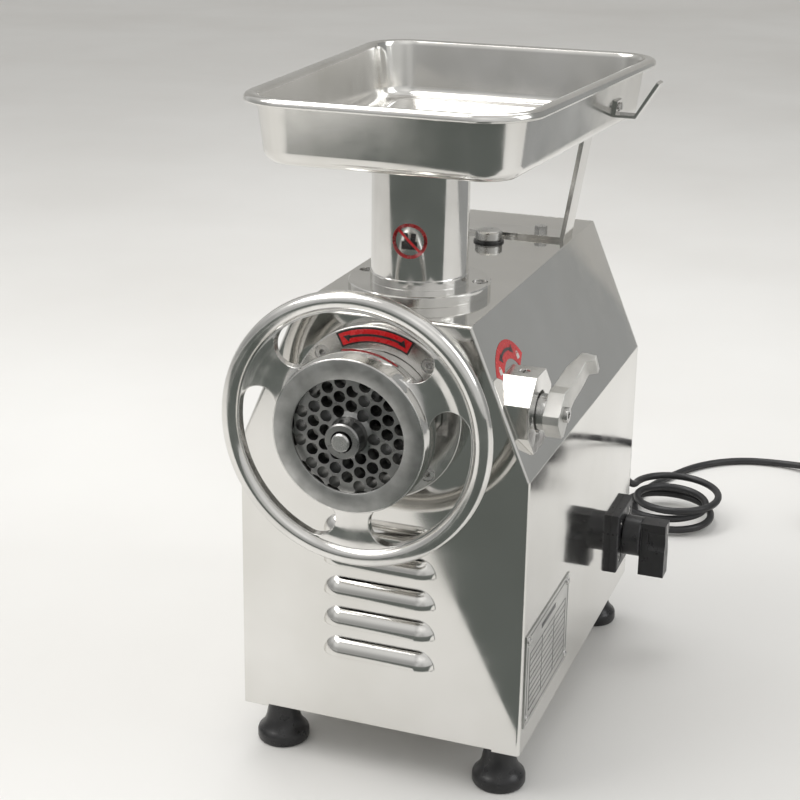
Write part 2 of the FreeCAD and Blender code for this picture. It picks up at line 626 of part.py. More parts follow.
def feed_tube():
    foot_z = TOP_Z - SPIGOT_DEPTH
    top = TOP_Z + TUBE_LEN
    outline = [(TUBE_R - TUBE_WALL, foot_z), (TUBE_R, foot_z), (TUBE_R, TOP_Z), (TUBE_FLANGE_R, TOP_Z),
               (TUBE_FLANGE_R, TOP_Z + TUBE_FLANGE_T - 0.8), (TUBE_FLANGE_R - 0.8, TOP_Z + TUBE_FLANGE_T),
               (TUBE_R + TUBE_COLLAR_GROW, TOP_Z + TUBE_FLANGE_T),
               (TUBE_R + TUBE_COLLAR_GROW, TOP_Z + TUBE_FLANGE_T + TUBE_COLLAR_H),
               (TUBE_R, TOP_Z + TUBE_FLANGE_T + TUBE_COLLAR_H + 0.6), (TUBE_R, top),
               (TUBE_R - TUBE_WALL, top)]
    solid = turned(outline, V(0, TUBE_Y, 0), Z_AXIS)
    cuts = []
    for x, y in tube_bolt_places():
        cuts.append(rod(TUBE_SHANK_R + SEAT_GAP, V(x, y, TOP_Z - 1), V(x, y, TOP_Z + 20)))
        cuts.append(rod(TUBE_HEAD_R + HEAD_GAP, V(x, y, TOP_Z + TUBE_BOLT_SEAT),
                        V(x, y, TOP_Z + TUBE_FLANGE_T + 1)))
    return solid.cut(Part.makeCompound(cuts))


def feed_tube_bolts():
    bolts = []
    for x, y in tube_bolt_places():
        length = TUBE_BOLT_SEAT + SHEET + THROAT_FLANGE_T - 2
        bolts.append(socket_screw(V(x, y, TOP_Z + TUBE_BOLT_SEAT), Z_AXIS, TUBE_SHANK_R, length,
                                  TUBE_HEAD_R, TUBE_HEAD_H))
    return bolts


def square_bar(side, y0, y1, turn=0.0):
    bar = box(-side / 2, side / 2, y0, y1, AXIS_Z - side / 2, AXIS_Z + side / 2)
    return around_y(bar, turn)


def auger():
    """Feed screw: pin, square for the knife, core with a helical flight, journal and drive square."""
    flight_r = BARREL_BORE_R - AUGER_GAP
    flight_y0 = AUGER_FRONT_Y + AUGER_FLIGHT_T / 2 + FLIGHT_START
    flight_y1 = AUGER_BACK_Y - AUGER_FLIGHT_T / 2 - FLIGHT_END
    helix = Part.makeHelix(AUGER_PITCH, flight_y1 - flight_y0, flight_r)
    half = AUGER_FLIGHT_T / 2
    inner = AUGER_CORE_R - 2
    section = Part.makePolygon([V(inner, 0, -half), V(flight_r, 0, -half * 0.5), V(flight_r, 0, half * 0.5),
                                V(inner, 0, half), V(inner, 0, -half)])
    flight = Part.Wire(helix.Edges).makePipeShell([section], True, True)
    flight.rotate(V(0, 0, 0), X_AXIS, -90)
    flight.translate(V(0, flight_y0, AXIS_Z))
    core = [rod_y(AUGER_CORE_R, AUGER_FRONT_Y, AUGER_BACK_Y)]
    core.append(rod_y(WASHER_R - 2, AUGER_BACK_Y - 2, AUGER_BACK_Y))
    core.append(rod_y(JOURNAL_R, AUGER_BACK_Y - 1, BARREL_END_Y))
    core.append(square_bar(SQUARE, PLATE_BACK_Y + 0.2, AUGER_FRONT_Y + 1))
    core.append(square_bar(SQUARE, BARREL_END_Y - 1, BARREL_END_Y + SOCKET_DEPTH))
    pin_len = PLATE_BACK_Y + 5 - PIN_FRONT_Y
    core.append(turned([(0, 0), (PIN_R - 1, 0), (PIN_R, 1), (PIN_R, pin_len), (0, pin_len)],
                       V(0, PIN_FRONT_Y, AXIS_Z), Y_AXIS))
    return fused(core).fuse(flight)


def knife():
    y0, y1 = PLATE_BACK_Y + JOURNAL_GAP, KNIFE_BACK_Y - 2
    hub = rod_y(KNIFE_HUB_R, y0, KNIFE_BACK_Y)
    tip = BARREL_BORE_R - AUGER_GAP
    blades = []
    for turn in range(KNIFE_BLADES):
        outline = [V(2, y0, AXIS_Z - 5), V(tip, y0, AXIS_Z - 7), V(tip, y0, AXIS_Z + 1), V(2, y0, AXIS_Z + 7)]
        blade = prism(outline, Y_AXIS * (y1 - y0))
        blades.append(around_y(blade, turn * 360 / KNIFE_BLADES + KNIFE_TURN))
    return fused([hub] + blades).cut(square_bar(SQUARE + 2 * SQUARE_GAP, y0 - 1, KNIFE_BACK_Y + 1))


def grinder_plate():
    disc = rod_y(PLATE_R, PLATE_FRONT_Y, PLATE_BACK_Y)
    boss_front = PLATE_FRONT_Y - BOSS_LEN
    foot_ring = [(0, 0), (BOSS_R + 4, 0), (BOSS_R + 1.2, -1.4), (BOSS_R, -4), (BOSS_R, 1 - BOSS_LEN),
                 (BOSS_R - 1, -BOSS_LEN), (0, -BOSS_LEN)]
    boss = turned(foot_ring, V(0, PLATE_FRONT_Y, AXIS_Z), Y_AXIS)
    solid = fused([disc, boss])
    cuts = [rod_y(BOSS_BORE_R, boss_front - 1, PLATE_BACK_Y + 1), key_box(SEAT_GAP)]
    step = PLATE_PITCH * math.sqrt(3) / 2
    outer = PLATE_R - PLATE_HOLE_R - 1.4
    inner = BOSS_R + PLATE_HOLE_R + 0.6
    for column in range(-5, 6):
        for row in range(-5, 6):
            x = column * step
            z = (row + 0.5 * (column % 2)) * PLATE_PITCH
            if inner < math.hypot(x, z) < outer:
                hole = rod_y(PLATE_HOLE_R, PLATE_FRONT_Y - 3, PLATE_BACK_Y + 1, x, AXIS_Z + z)
                cuts.append(around_y(hole, PLATE_TURN))
    return solid.cut(Part.makeCompound(cuts))


def ring_nut_handwheel():
    """Ring nut and three-spoked handwheel in one casting."""
    back = NUT_FACE_Y + NUT_LEN
    hub = turned([(0, NUT_FACE_Y), (NUT_R - 1, NUT_FACE_Y), (NUT_R, NUT_FACE_Y + 1), (NUT_R, back), (0, back)],
                 V(0, 0, AXIS_Z), Y_AXIS)
    rim_back = WHEEL_FRONT_Y + WHEEL_T
    rim_in = WHEEL_R - WHEEL_RIM
    c = WHEEL_BEVEL
    rim = turned([(rim_in, WHEEL_FRONT_Y + c), (rim_in + c, WHEEL_FRONT_Y), (WHEEL_R - c, WHEEL_FRONT_Y),
                  (WHEEL_R, WHEEL_FRONT_Y + c), (WHEEL_R, rim_back - c), (WHEEL_R - c, rim_back),
                  (rim_in + c, rim_back), (rim_in, rim_back - c)], V(0, 0, AXIS_Z), Y_AXIS)
    web_y0 = WHEEL_FRONT_Y + (WHEEL_T - SPOKE_T) / 2
    web = rod_y(rim_in + 2, web_y0, web_y0 + SPOKE_T)
    slot_r = (rim_in + NUT_R) / 2
    end_r = (rim_in - NUT_R) / 2
    half_turn = 180 / SPOKES - math.degrees((SPOKE_W / 2) / slot_r) - math.degrees(math.asin(end_r / slot_r))
    for number in range(SPOKES):
        middle = 90 + number * 360 / SPOKES
        web = web.cut(kidney(slot_r, end_r, middle, half_turn, web_y0 - 1, web_y0 + SPOKE_T + 1))
    solid = fused([hub, rim, web])
    cuts = [rod_y(OUTLET_R, NUT_FACE_Y - 1, back + 1)]
    cuts.append(rod_y(THREAD_R + THREAD_GAP, NUT_FACE_Y + NUT_LIP, back + 1))
    return solid.cut(Part.makeCompound(cuts))


def kidney(mid_r, end_r, middle, half_turn, y0, y1):
    """Curved slot about the head's axis; middle and half_turn are degrees from +X towards +Z."""
    band = tube_y(mid_r + end_r, mid_r - end_r, y0, y1)
    reach = mid_r * 3
    fan = []
    for part in range(7):
        angle = math.radians(middle - half_turn + part * half_turn / 3)
        fan.append(V(reach * math.cos(angle), y0, AXIS_Z + reach * math.sin(angle)))
    sector = prism([V(0, y0, AXIS_Z)] + fan, Y_AXIS * (y1 - y0))
    ends = []
    for side in (-1, 1):
        angle = math.radians(middle + side * half_turn)
        ends.append(rod_y(end_r, y0, y1, mid_r * math.cos(angle), AXIS_Z + mid_r * math.sin(angle)))
    return fused([band.common(sector)] + ends)


# ================================================================ gear train
def gear(teeth, module, width, y0, z, bore, tooth_at):
    """Spur gear about Y. tooth_at is the direction of one tooth's middle, degrees from +X to +Z."""
    pitch_r = teeth * module / 2
    pressure = math.radians(PRESSURE_ANGLE)
    base_r = pitch_r * math.cos(pressure)
    tip_r = pitch_r + ADDENDUM * module
    root_r = pitch_r - DEDENDUM * module
    start_r = max(base_r, root_r + 0.2)
    half_pitch = (math.pi * module / 2 - GEAR_BACKLASH) / (2 * pitch_r)

    def half_angle(radius):
        alpha = math.acos(min(1.0, base_r / radius))
        return half_pitch + (math.tan(pressure) - pressure) - (math.tan(alpha) - alpha)

    flank = [(root_r, half_angle(start_r))]
    for step in range(3):
        radius = start_r + (tip_r - start_r) * step / 2
        flank.append((radius, half_angle(radius)))
    points = []
    for tooth in range(teeth):
        middle = math.radians(tooth_at + 360.0 * tooth / teeth)
        for radius, angle in [(r, -a) for r, a in flank] + list(reversed(flank)):
            points.append(V(radius * math.cos(middle + angle), y0, z + radius * math.sin(middle + angle)))
    wheel = prism(points, Y_AXIS * width)
    return wheel.cut(rod_y(bore, y0 - 1, y0 + width + 1, 0, z)) if bore else wheel


def output_shaft():
    front = BARREL_END_Y + 0.3
    body = [rod_y(SHAFT_R, front, STAGE2_Y0 + STAGE2_W), rod_y(SHAFT_REAR_R, STAGE2_Y0, CASE_Y1 - 1)]
    body.append(rod_y(SHAFT_R + 3, STAGE2_Y0 - 5, STAGE2_Y0))
    socket = square_bar(SQUARE + 2 * SQUARE_GAP, front - 1, BARREL_END_Y + SOCKET_DEPTH + 1)
    return fused(body).cut(socket)


def intermediate_gear():
    stage1 = gear(STAGE1_GEAR, STAGE1_MODULE, STAGE1_W, STAGE1_Y0, MID_Z, 0, -90)
    pinion = gear(STAGE2_PINION, STAGE2_MODULE, STAGE2_W, STAGE2_Y0, MID_Z, 0, 90 + 180 / STAGE2_PINION)
    journals = rod_y(MID_JOURNAL_R, MID_FRONT_BEARING_Y, CASE_Y1 - 1, 0, MID_Z)
    shoulder = rod_y(MID_JOURNAL_R + 4, STAGE1_Y0 + STAGE1_W - 1, STAGE2_Y0 + 1, 0, MID_Z)
    return fused([stage1, pinion, journals, shoulder])


def stadium_y(radius, y0, y1):
    """Long round-ended block that encloses the gear train."""
    flat = box(-radius, radius, y0, y1, MOTOR_Z, AXIS_Z)
    return fused([flat, rod_y(radius, y0, y1, 0, MOTOR_Z), rod_y(radius, y0, y1, 0, AXIS_Z)])


def gearbox_case():
    nose = rod_y(NOSE_R, BARREL_END_Y, CASE_Y0 + 1)
    shell = stadium_y(CASE_R, CASE_Y0, CASE_Y1).cut(stadium_y(CASE_R - CASE_WALL, CASE_Y0 + CASE_WALL, CASE_Y1 + 1))
    boss = rod_y(MID_BEARING_R + 4, CASE_Y0, MID_FRONT_BEARING_Y + MID_BEARING_W, 0, MID_Z)
    neck = rod(CAP_NECK_R + NECK_WALL, V(CAP_X, CAP_Y, AXIS_Z + CASE_R - 4), V(CAP_X, CAP_Y, TOP_Z - SHEET))
    solid = fused([shell, nose, boss, neck])
    cuts = [rod_y(SHAFT_R + 1, BARREL_END_Y - 1, CASE_Y0 + CASE_WALL + 1)]
    cuts.append(rod_y(FRONT_BEARING_R, FRONT_BEARING_Y, CASE_Y0 + CASE_WALL + 1))
    cuts.append(rod_y(MID_BEARING_R, MID_FRONT_BEARING_Y, MID_FRONT_BEARING_Y + MID_BEARING_W + 1, 0, MID_Z))
    cuts.append(rod_y(MOTOR_BEARING_R + 1, CASE_Y0 - 1, CASE_Y0 + CASE_WALL + 1, 0, MOTOR_Z))
    cuts.append(rod(CAP_NECK_R, V(CAP_X, CAP_Y, AXIS_Z + CASE_R - 12), V(CAP_X, CAP_Y, TOP_Z)))
    for x, z in cover_screw_places():
        cuts.append(rod_y(COVER_SHANK_R, CASE_Y1 - COVER_SCREW_GRIP - 2, CASE_Y1 + 1, x, z))
    return solid.cut(Part.makeCompound(cuts))


def cover_screw_places():
    """Screws around the gearbox cover, as x and z."""
    ring = CASE_R - CASE_WALL / 2
    places = [(side * ring, z) for side in (-1, 1) for z in (MOTOR_Z + 10, MID_Z, AXIS_Z - 10)]
    return places + [(0, MOTOR_Z - ring)]


def gearbox_cover():
    plate = stadium_y(CASE_R, CASE_Y1, CASE_Y1 + COVER_T)
    seats = [rod_y(REAR_BEARING_R + 3, CASE_Y1 - REAR_BEARING_W, CASE_Y1 + 1)]
    seats.append(rod_y(MID_BEARING_R + 3, CASE_Y1 - MID_BEARING_W, CASE_Y1 + 1, 0, MID_Z))
    solid = fused([plate] + seats)
    cuts = [rod_y(REAR_BEARING_R, CASE_Y1 - REAR_BEARING_W - 1, CASE_Y1)]
    cuts.append(rod_y(MID_BEARING_R, CASE_Y1 - MID_BEARING_W - 1, CASE_Y1, 0, MID_Z))
    for x, z in cover_screw_places():
        cuts.append(rod_y(COVER_SHANK_R + SEAT_GAP, CASE_Y1 - 1, CASE_Y1 + COVER_T + 1, x, z))
    return solid.cut(Part.makeCompound(cuts))


def gearbox_screws():
    return [socket_screw(V(x, CASE_Y1 + COVER_T, z), Y_AXIS, COVER_SHANK_R, COVER_T + COVER_SCREW_GRIP,
                         COVER_HEAD_R, COVER_HEAD_H) for x, z in cover_screw_places()]


def gearbox_bearings():
    """Four bearings as plain rings: output front and rear, intermediate front and rear."""
    front = tube_y(FRONT_BEARING_R, SHAFT_R + JOURNAL_GAP, FRONT_BEARING_Y, FRONT_BEARING_Y + FRONT_BEARING_W)
    rear = tube_y(REAR_BEARING_R, SHAFT_REAR_R + JOURNAL_GAP, CASE_Y1 - REAR_BEARING_W, CASE_Y1)
    mid = [tube_y(MID_BEARING_R, MID_JOURNAL_R + JOURNAL_GAP, y, y + MID_BEARING_W, 0, MID_Z)
           for y in (MID_FRONT_BEARING_Y, CASE_Y1 - MID_BEARING_W)]
    return [front, rear] + mid


# ================================================================ motor
def motor_housing():
    """Motor's can, closed at the back, where it is flanged to the gearbox."""
    tube = tube_y(MOTOR_R, MOTOR_R - MOTOR_WALL, MOTOR_Y0, CASE_Y0, 0, MOTOR_Z)
    end = tube_y(MOTOR_R, MOTOR_BEARING_R, CASE_Y0 - MOTOR_CAP_T, CASE_Y0, 0, MOTOR_Z)
    return fused([tube, end])


def motor_stator():
    return tube_y(MOTOR_R - MOTOR_WALL, ROTOR_R + AIR_GAP, STATOR_Y0, STATOR_Y1, 0, MOTOR_Z)


def motor_end_cover():
    cover = tube_y(MOTOR_R, MOTOR_BEARING_R, MOTOR_Y0 - MOTOR_CAP_T, MOTOR_Y0, 0, MOTOR_Z)
    for number in range(COVER_VENTS):
        angle = math.radians(360 / COVER_VENTS * number)
        x, z = COVER_VENT_RING * math.cos(angle), MOTOR_Z + COVER_VENT_RING * math.sin(angle)
        cover = cover.cut(rod_y(COVER_VENT_R, MOTOR_Y0 - MOTOR_CAP_T - 1, MOTOR_Y0 + 1, x, z))
    return cover


def motor_bearings():
    return [tube_y(MOTOR_BEARING_R, MOTOR_SHAFT_R + JOURNAL_GAP, y, y + MOTOR_CAP_T, 0, MOTOR_Z)
            for y in (MOTOR_Y0 - MOTOR_CAP_T, CASE_Y0 - MOTOR_CAP_T)]


def motor_rotor():
    """Rotor core on its shaft, with the first pinion cut on the shaft's end."""
    shaft = rod_y(MOTOR_SHAFT_R, FAN_Y0 - 2, STAGE1_Y0 + STAGE1_W + 2, 0, MOTOR_Z)
    core = rod_y(ROTOR_R, STATOR_Y0, STATOR_Y1, 0, MOTOR_Z)
    pinion = gear(STAGE1_PINION, STAGE1_MODULE, STAGE1_W + 2, STAGE1_Y0 - 1, MOTOR_Z, 0, 90 + 180 / STAGE1_PINION)
    return fused([shaft, core, pinion])


def motor_fan():
    hub = rod_y(FAN_HUB_R, FAN_Y0, FAN_Y0 + FAN_W, 0, MOTOR_Z)
    pieces = [hub, rod_y(FAN_R, FAN_Y0 + FAN_W - 2, FAN_Y0 + FAN_W, 0, MOTOR_Z)]
    for number in range(FAN_BLADES):
        blade = box(FAN_HUB_R - 2, FAN_R - 2, FAN_Y0, FAN_Y0 + FAN_W - 1,
                    MOTOR_Z - FAN_BLADE_T / 2, MOTOR_Z + FAN_BLADE_T / 2)
        pieces.append(around_y(blade, number * 360 / FAN_BLADES, 0, MOTOR_Z))
    return fused(pieces).cut(rod_y(MOTOR_SHAFT_R, FAN_Y0 - 1, FAN_Y0 + FAN_W + 1, 0, MOTOR_Z))


def motor_cradle():
    """Hollow block on the base plate whose saddle carries the motor's can."""
    top = MOTOR_Z - MOTOR_R * CRADLE_HUG
    block = box(-CRADLE_HALF, CRADLE_HALF, CRADLE_Y0, CRADLE_Y1, BASE_TOP_Z, top)
    inner = CRADLE_HALF - CRADLE_WALL
    hollow = box(-inner, inner, CRADLE_Y0 + CRADLE_WALL, CRADLE_Y1 - CRADLE_WALL, BASE_TOP_Z + 4, MOTOR_Z)
    saddle = rod_y(MOTOR_R + SEAT_GAP, CRADLE_Y0 - 1, CRADLE_Y1 + 1, 0, MOTOR_Z)
    return block.cut(hollow).cut(saddle)


def capacitor():
    """Starting capacitor lying on the base plate in its clip."""
    z = BASE_TOP_Z + CAPACITOR_R + 2
    y0, middle = CAPACITOR_Y1 - CAPACITOR_L, CAPACITOR_Y1 - CAPACITOR_L / 2
    can = rod_y(CAPACITOR_R, y0, CAPACITOR_Y1, CAPACITOR_X, z)
    half = CLIP_W / 2
    clip = box(CAPACITOR_X - half, CAPACITOR_X + half, middle - half, middle + half, BASE_TOP_Z, z)
    return fused([can, clip])


def terminal_block():
    block = box(TERMINAL_X - TERMINAL_L / 2, TERMINAL_X + TERMINAL_L / 2, TERMINAL_Y - TERMINAL_W / 2,
                TERMINAL_Y + TERMINAL_W / 2, BASE_TOP_Z, BASE_TOP_Z + TERMINAL_H)
    wells = []
    for number in range(TERMINALS):
        x = TERMINAL_X + (number - (TERMINALS - 1) / 2) * TERMINAL_PITCH
        wells.append(rod(TERMINAL_R, V(x, TERMINAL_Y, BASE_TOP_Z + TERMINAL_H - 10),
                         V(x, TERMINAL_Y, BASE_TOP_Z + TERMINAL_H + 1)))
    return block.cut(Part.makeCompound(wells))


# ================================================================ top fittings
def oil_cap():
    z = TOP_Z + CAP_WASHER_T
    knob = turned([(0, 0), (CAP_R - 0.6, 0), (CAP_R, 0.6), (CAP_R, CAP_H - 1), (CAP_R - 1, CAP_H), (0, CAP_H)],
                  V(CAP_X, CAP_Y, z), Z_AXIS)
    stem = rod(CAP_NECK_R - SEAT_GAP, V(CAP_X, CAP_Y, TOP_Z - 10), V(CAP_X, CAP_Y, z + 1))
    return fused([knob, stem])


def oil_cap_washer():
    base = V(CAP_X, CAP_Y, TOP_Z)
    washer = rod(CAP_WASHER_R, base, base + Z_AXIS * CAP_WASHER_T)
    return washer.cut(rod(CAP_NECK_R + 0.2, base - Z_AXIS, base + Z_AXIS * 5))


def tray_bracket():
    """Flat bar on the housing's top, bent up into a strut whose end pad carries the tray."""
    y0, y1 = BRACKET_Y - BRACKET_W / 2, BRACKET_Y + BRACKET_W / 2
    top = TRAY_FLOOR_Z - TRAY_REST_GAP
    t = BRACKET_T
    head_x = BRACKET_X1 + BRACKET_LEAN
    pad_x = head_x + BRACKET_PAD
    outline = [V(BRACKET_X0, y0, TOP_Z), V(BRACKET_X1, y0, TOP_Z), V(head_x, y0, top - t), V(pad_x, y0, top - t),
               V(pad_x, y0, top), V(head_x - t, y0, top), V(BRACKET_X1 - t, y0, TOP_Z + t),
               V(BRACKET_X0, y0, TOP_Z + t)]
    bar = prism(outline, Y_AXIS * (y1 - y0))
    hole = rod(BRACKET_SHANK_R + SEAT_GAP, V(BRACKET_BOLT_X, BRACKET_Y, TOP_Z - 1),
               V(BRACKET_BOLT_X, BRACKET_Y, TOP_Z + 10))
    return bar.cut(hole)


def bracket_bolt():
    return hexagon_bolt(V(BRACKET_BOLT_X, BRACKET_Y, TOP_Z + BRACKET_T), Z_AXIS, BRACKET_SHANK_R,
                        BRACKET_BOLT_L, BRACKET_BOLT_FLATS, BRACKET_BOLT_HEAD_H)


# ================================================================ lock block, lock bolt and lever
def across_corners(flats):
    return flats / 2 / math.cos(math.radians(22.5))


def clamp_block():
    """Octagonal block whose foot follows the facet."""
    corner = across_corners(BLOCK_FLATS)
    points = []
    for number in range(8):
        angle = math.radians(22.5 + 45 * number)
        points.append(V(HALF_TOP, LOCK_Y + corner * math.cos(angle), AXIS_Z + corner * math.sin(angle)))
    block = prism(points, X_AXIS * (BLOCK_FACE_X - HALF_TOP))
    y0, depth = LOCK_Y - corner - 5, 2 * corner + 10
    behind = prism([V(0, y0, BODY_Z), V(facet_x(BODY_Z), y0, BODY_Z), V(facet_x(TOP_Z + 60), y0, TOP_Z + 60),
                    V(0, y0, TOP_Z + 60)], Y_AXIS * depth)
    block = block.cut(behind)
    recess = rod(BLOCK_RECESS_R, V(BLOCK_FACE_X - BLOCK_RECESS, LOCK_Y, AXIS_Z), V(BLOCK_FACE_X + 1, LOCK_Y, AXIS_Z))
    bore = rod(LOCK_SHAFT_R + JOURNAL_GAP, V(0, LOCK_Y, AXIS_Z), V(BLOCK_FACE_X + 1, LOCK_Y, AXIS_Z))
    seat = V(TOP_SCREW_X, LOCK_Y, AXIS_Z + BLOCK_FLATS / 2 - TOP_SCREW_L)
    top_screw = rod(TOP_SCREW_R, seat, seat + Z_AXIS * (TOP_SCREW_L + 1))
    y, z = side_screw_place()
    side = rod(SIDE_SCREW_R, V(BLOCK_FACE_X - SIDE_SCREW_DEPTH, y, z), V(BLOCK_FACE_X + 1, y, z))
    return block.cut(Part.makeCompound([recess, bore, top_screw, side]))


def side_screw_place():
    """Small screw on the block's end face, forward of the lock bolt and a little below it."""
    reach = (BLOCK_RECESS_R + BLOCK_FLATS / 2) / 2
    return LOCK_Y - reach, AXIS_Z - 1.0


def block_screws():
    """Grub screw in the block's top flat and small screw in its end face."""
    face = AXIS_Z + BLOCK_FLATS / 2
    top = rod(TOP_SCREW_R, V(TOP_SCREW_X, LOCK_Y, face - TOP_SCREW_L), V(TOP_SCREW_X, LOCK_Y, face - 0.6))
    top = top.cut(box(TOP_SCREW_X - 0.6, TOP_SCREW_X + 0.6, LOCK_Y - 5, LOCK_Y + 5, face - 2, face))
    y, z = side_screw_place()
    side = rod(SIDE_SCREW_R, V(BLOCK_FACE_X - SIDE_SCREW_DEPTH, y, z), V(BLOCK_FACE_X - 0.2, y, z))
    side = side.cut(rod(1.6, V(BLOCK_FACE_X - 1.7, y, z), V(BLOCK_FACE_X + 1, y, z)))
    return [top, side]


def lock_bolt():
    """Bolt that presses the barrel from the side; its collar sits in the block's recess."""
    axis_at = V(0, LOCK_Y, AXIS_Z)
    shaft = rod(LOCK_SHAFT_R, axis_at + X_AXIS * (BARREL_R + 0.4), axis_at + X_AXIS * (LOCK_HUB_X - 1))
    collar = rod(LOCK_COLLAR_R, axis_at + X_AXIS * (BLOCK_FACE_X - BLOCK_RECESS + 0.4), axis_at + X_AXIS * LOCK_HUB_X)
    tail = rod(LOCK_TAIL_R, axis_at + X_AXIS * (LOCK_HUB_X - 1), axis_at + X_AXIS * (LOCK_HUB_X + LOCK_TAIL_L))
    return fused([shaft, collar, tail])


def lock_lever():
    """Cranked lever; drawn pointing to the back along +Y, then tilted up."""
    x0, x1 = LOCK_HUB_X, LOCK_HUB_X + LOCK_HUB_T
    tip = LEVER_LEN
    side = [(-14, x0), (-14, x1), (10, x1), (tip - 16, x1 + 5), (tip - 6, x1 + 7), (tip - 4, LEVER_LIP_X),
            (tip, LEVER_LIP_X), (tip + 1, x1 + 3), (tip - 12, x0 + 6), (13, x0)]
    plan = [(-14, -8), (-10, -12), (9, -12), (16, -8.5), (tip + 1, -8), (tip + 1, 8), (16, 8.5), (9, 12),
            (-10, 12), (-14, 8)]
    profile = prism([V(x, LOCK_Y + u, AXIS_Z - 20) for u, x in side], Z_AXIS * 40)
    shape = prism([V(x0 - 5, LOCK_Y + u, AXIS_Z + v) for u, v in plan], X_AXIS * 60)
    lever = profile.common(shape)
    lever = lever.cut(rod(LOCK_TAIL_R + SEAT_GAP, V(x0 - 1, LOCK_Y, AXIS_Z), V(x0 + LOCK_TAIL_L + 1, LOCK_Y, AXIS_Z)))
    lever = lever.cut(rod(3.2, V(x0 + 5, LOCK_Y, AXIS_Z), V(x1 + 1, LOCK_Y, AXIS_Z)))
    lever.rotate(V(0, LOCK_Y, AXIS_Z), X_AXIS, LEVER_TILT)
    return lever


def lever_screw():
    x1 = LOCK_HUB_X + LOCK_HUB_T
    return socket_screw(V(x1, LOCK_Y, AXIS_Z), X_AXIS, 3.1, LOCK_HUB_T - LOCK_TAIL_L, 5.2, 3)


# ================================================================ rotary switch and nameplate
def switch_screw_places():
    offset = BEZEL / 2 - 10
    return [(SWITCH_Y + sy * offset, SWITCH_Z + sz * offset) for sy in (-1, 1) for sz in (-1, 1)]


def switch_axis(x):
    return V(x, SWITCH_Y, SWITCH_Z)


def switch_body():
    inner = HALF_W - SHEET
    half = SWITCH_BODY / 2
    body = box(inner - SWITCH_BODY_L, inner, SWITCH_Y - half, SWITCH_Y + half, SWITCH_Z - half, SWITCH_Z + half)
    bore = rod(KNOB_SHAFT_R + JOURNAL_GAP, switch_axis(inner - KNOB_SHAFT_L - 1), switch_axis(inner + 1))
    screws = [rod(SWITCH_SCREW_R, V(inner - 8, y, z), V(inner + 1, y, z)) for y, z in switch_screw_places()]
    return body.cut(Part.makeCompound([bore] + screws))


def switch_bezel():
    half = BEZEL / 2
    bezel = box(HALF_W, HALF_W + BEZEL_T, SWITCH_Y - half, SWITCH_Y + half, SWITCH_Z - half, SWITCH_Z + half)
    edges = [e for e in bezel.Edges if abs(e.BoundBox.XMin - HALF_W - BEZEL_T) < 0.01]
    bezel = bezel.makeFillet(1.5, edges)
    cuts = [rod(KNOB_SHAFT_R + 1, switch_axis(HALF_W - 1), switch_axis(HALF_W + BEZEL_T + 1))]
    for y, z in switch_screw_places():
        cuts.append(rod(SWITCH_SCREW_R + SEAT_GAP, V(HALF_W - 1, y, z), V(HALF_W + 20, y, z)))
        cuts.append(rod(2 * SWITCH_SCREW_R, V(HALF_W + BEZEL_T - SWITCH_SCREW_SINK, y, z), V(HALF_W + 20, y, z)))
    return bezel.cut(Part.makeCompound(cuts))


def switch_screws():
    base_x = HALF_W + BEZEL_T - SWITCH_SCREW_SINK
    return [socket_screw(V(base_x, y, z), X_AXIS, SWITCH_SCREW_R, base_x - HALF_W + SHEET + 7,
                         2 * SWITCH_SCREW_R - HEAD_GAP, SWITCH_SCREW_SINK - 0.4)
            for y, z in switch_screw_places()]


def switch_knob():
    """Round base on the shaft with a long bar handle that has a hollow on each side."""
    x0 = HALF_W + BEZEL_T + KNOB_STANDOFF
    rise = KNOB_BASE_X - x0
    base = turned([(0, 0), (KNOB_BASE_R, 0), (KNOB_BASE_R, rise - 1), (KNOB_BASE_R - 1, rise), (0, rise)],
                  switch_axis(x0), X_AXIS)
    half = KNOB_BAR_W / 2
    bar = box(KNOB_BASE_X - 1, KNOB_FRONT_X, SWITCH_Y - half, SWITCH_Y + half,
              SWITCH_Z - KNOB_DOWN, SWITCH_Z + KNOB_UP)
    away = half + KNOB_GRIP_R - KNOB_GRIP_BITE
    grips = [rod(KNOB_GRIP_R, V(KNOB_BASE_X + 6, SWITCH_Y + side * away, SWITCH_Z),
                 V(KNOB_FRONT_X + 1, SWITCH_Y + side * away, SWITCH_Z)) for side in (-1, 1)]
    shaft = rod(KNOB_SHAFT_R, switch_axis(HALF_W - SHEET - KNOB_SHAFT_L), switch_axis(x0 + 1))
    return fused([base, bar, shaft]).cut(Part.makeCompound(grips))


def rivet_places():
    ys = (NAMEPLATE_Y0 + NAMEPLATE_INSET, NAMEPLATE_Y1 - NAMEPLATE_INSET)
    zs = (NAMEPLATE_Z0 + NAMEPLATE_INSET, NAMEPLATE_Z1 - NAMEPLATE_INSET)
    return [(y, z) for y in ys for z in zs]


def nameplate():
    plate = box(HALF_W, HALF_W + NAMEPLATE_T, NAMEPLATE_Y0, NAMEPLATE_Y1, NAMEPLATE_Z0, NAMEPLATE_Z1)
    holes = [rod(RIVET_SHANK_R + SEAT_GAP, V(HALF_W - 1, y, z), V(HALF_W + 5, y, z)) for y, z in rivet_places()]
    return plate.cut(Part.makeCompound(holes))


def nameplate_rivets():
    rivets = []
    for y, z in rivet_places():
        head = turned([(0, 0), (2.9, 0), (2.7, 0.8), (1.8, 1.5), (0, 1.8)], V(HALF_W + NAMEPLATE_T, y, z), X_AXIS)
        shank = rod(RIVET_SHANK_R, V(HALF_W - SHEET - 1, y, z), V(HALF_W + NAMEPLATE_T + 0.5, y, z))
        rivets.append(fused([head, shank]))
    return rivets


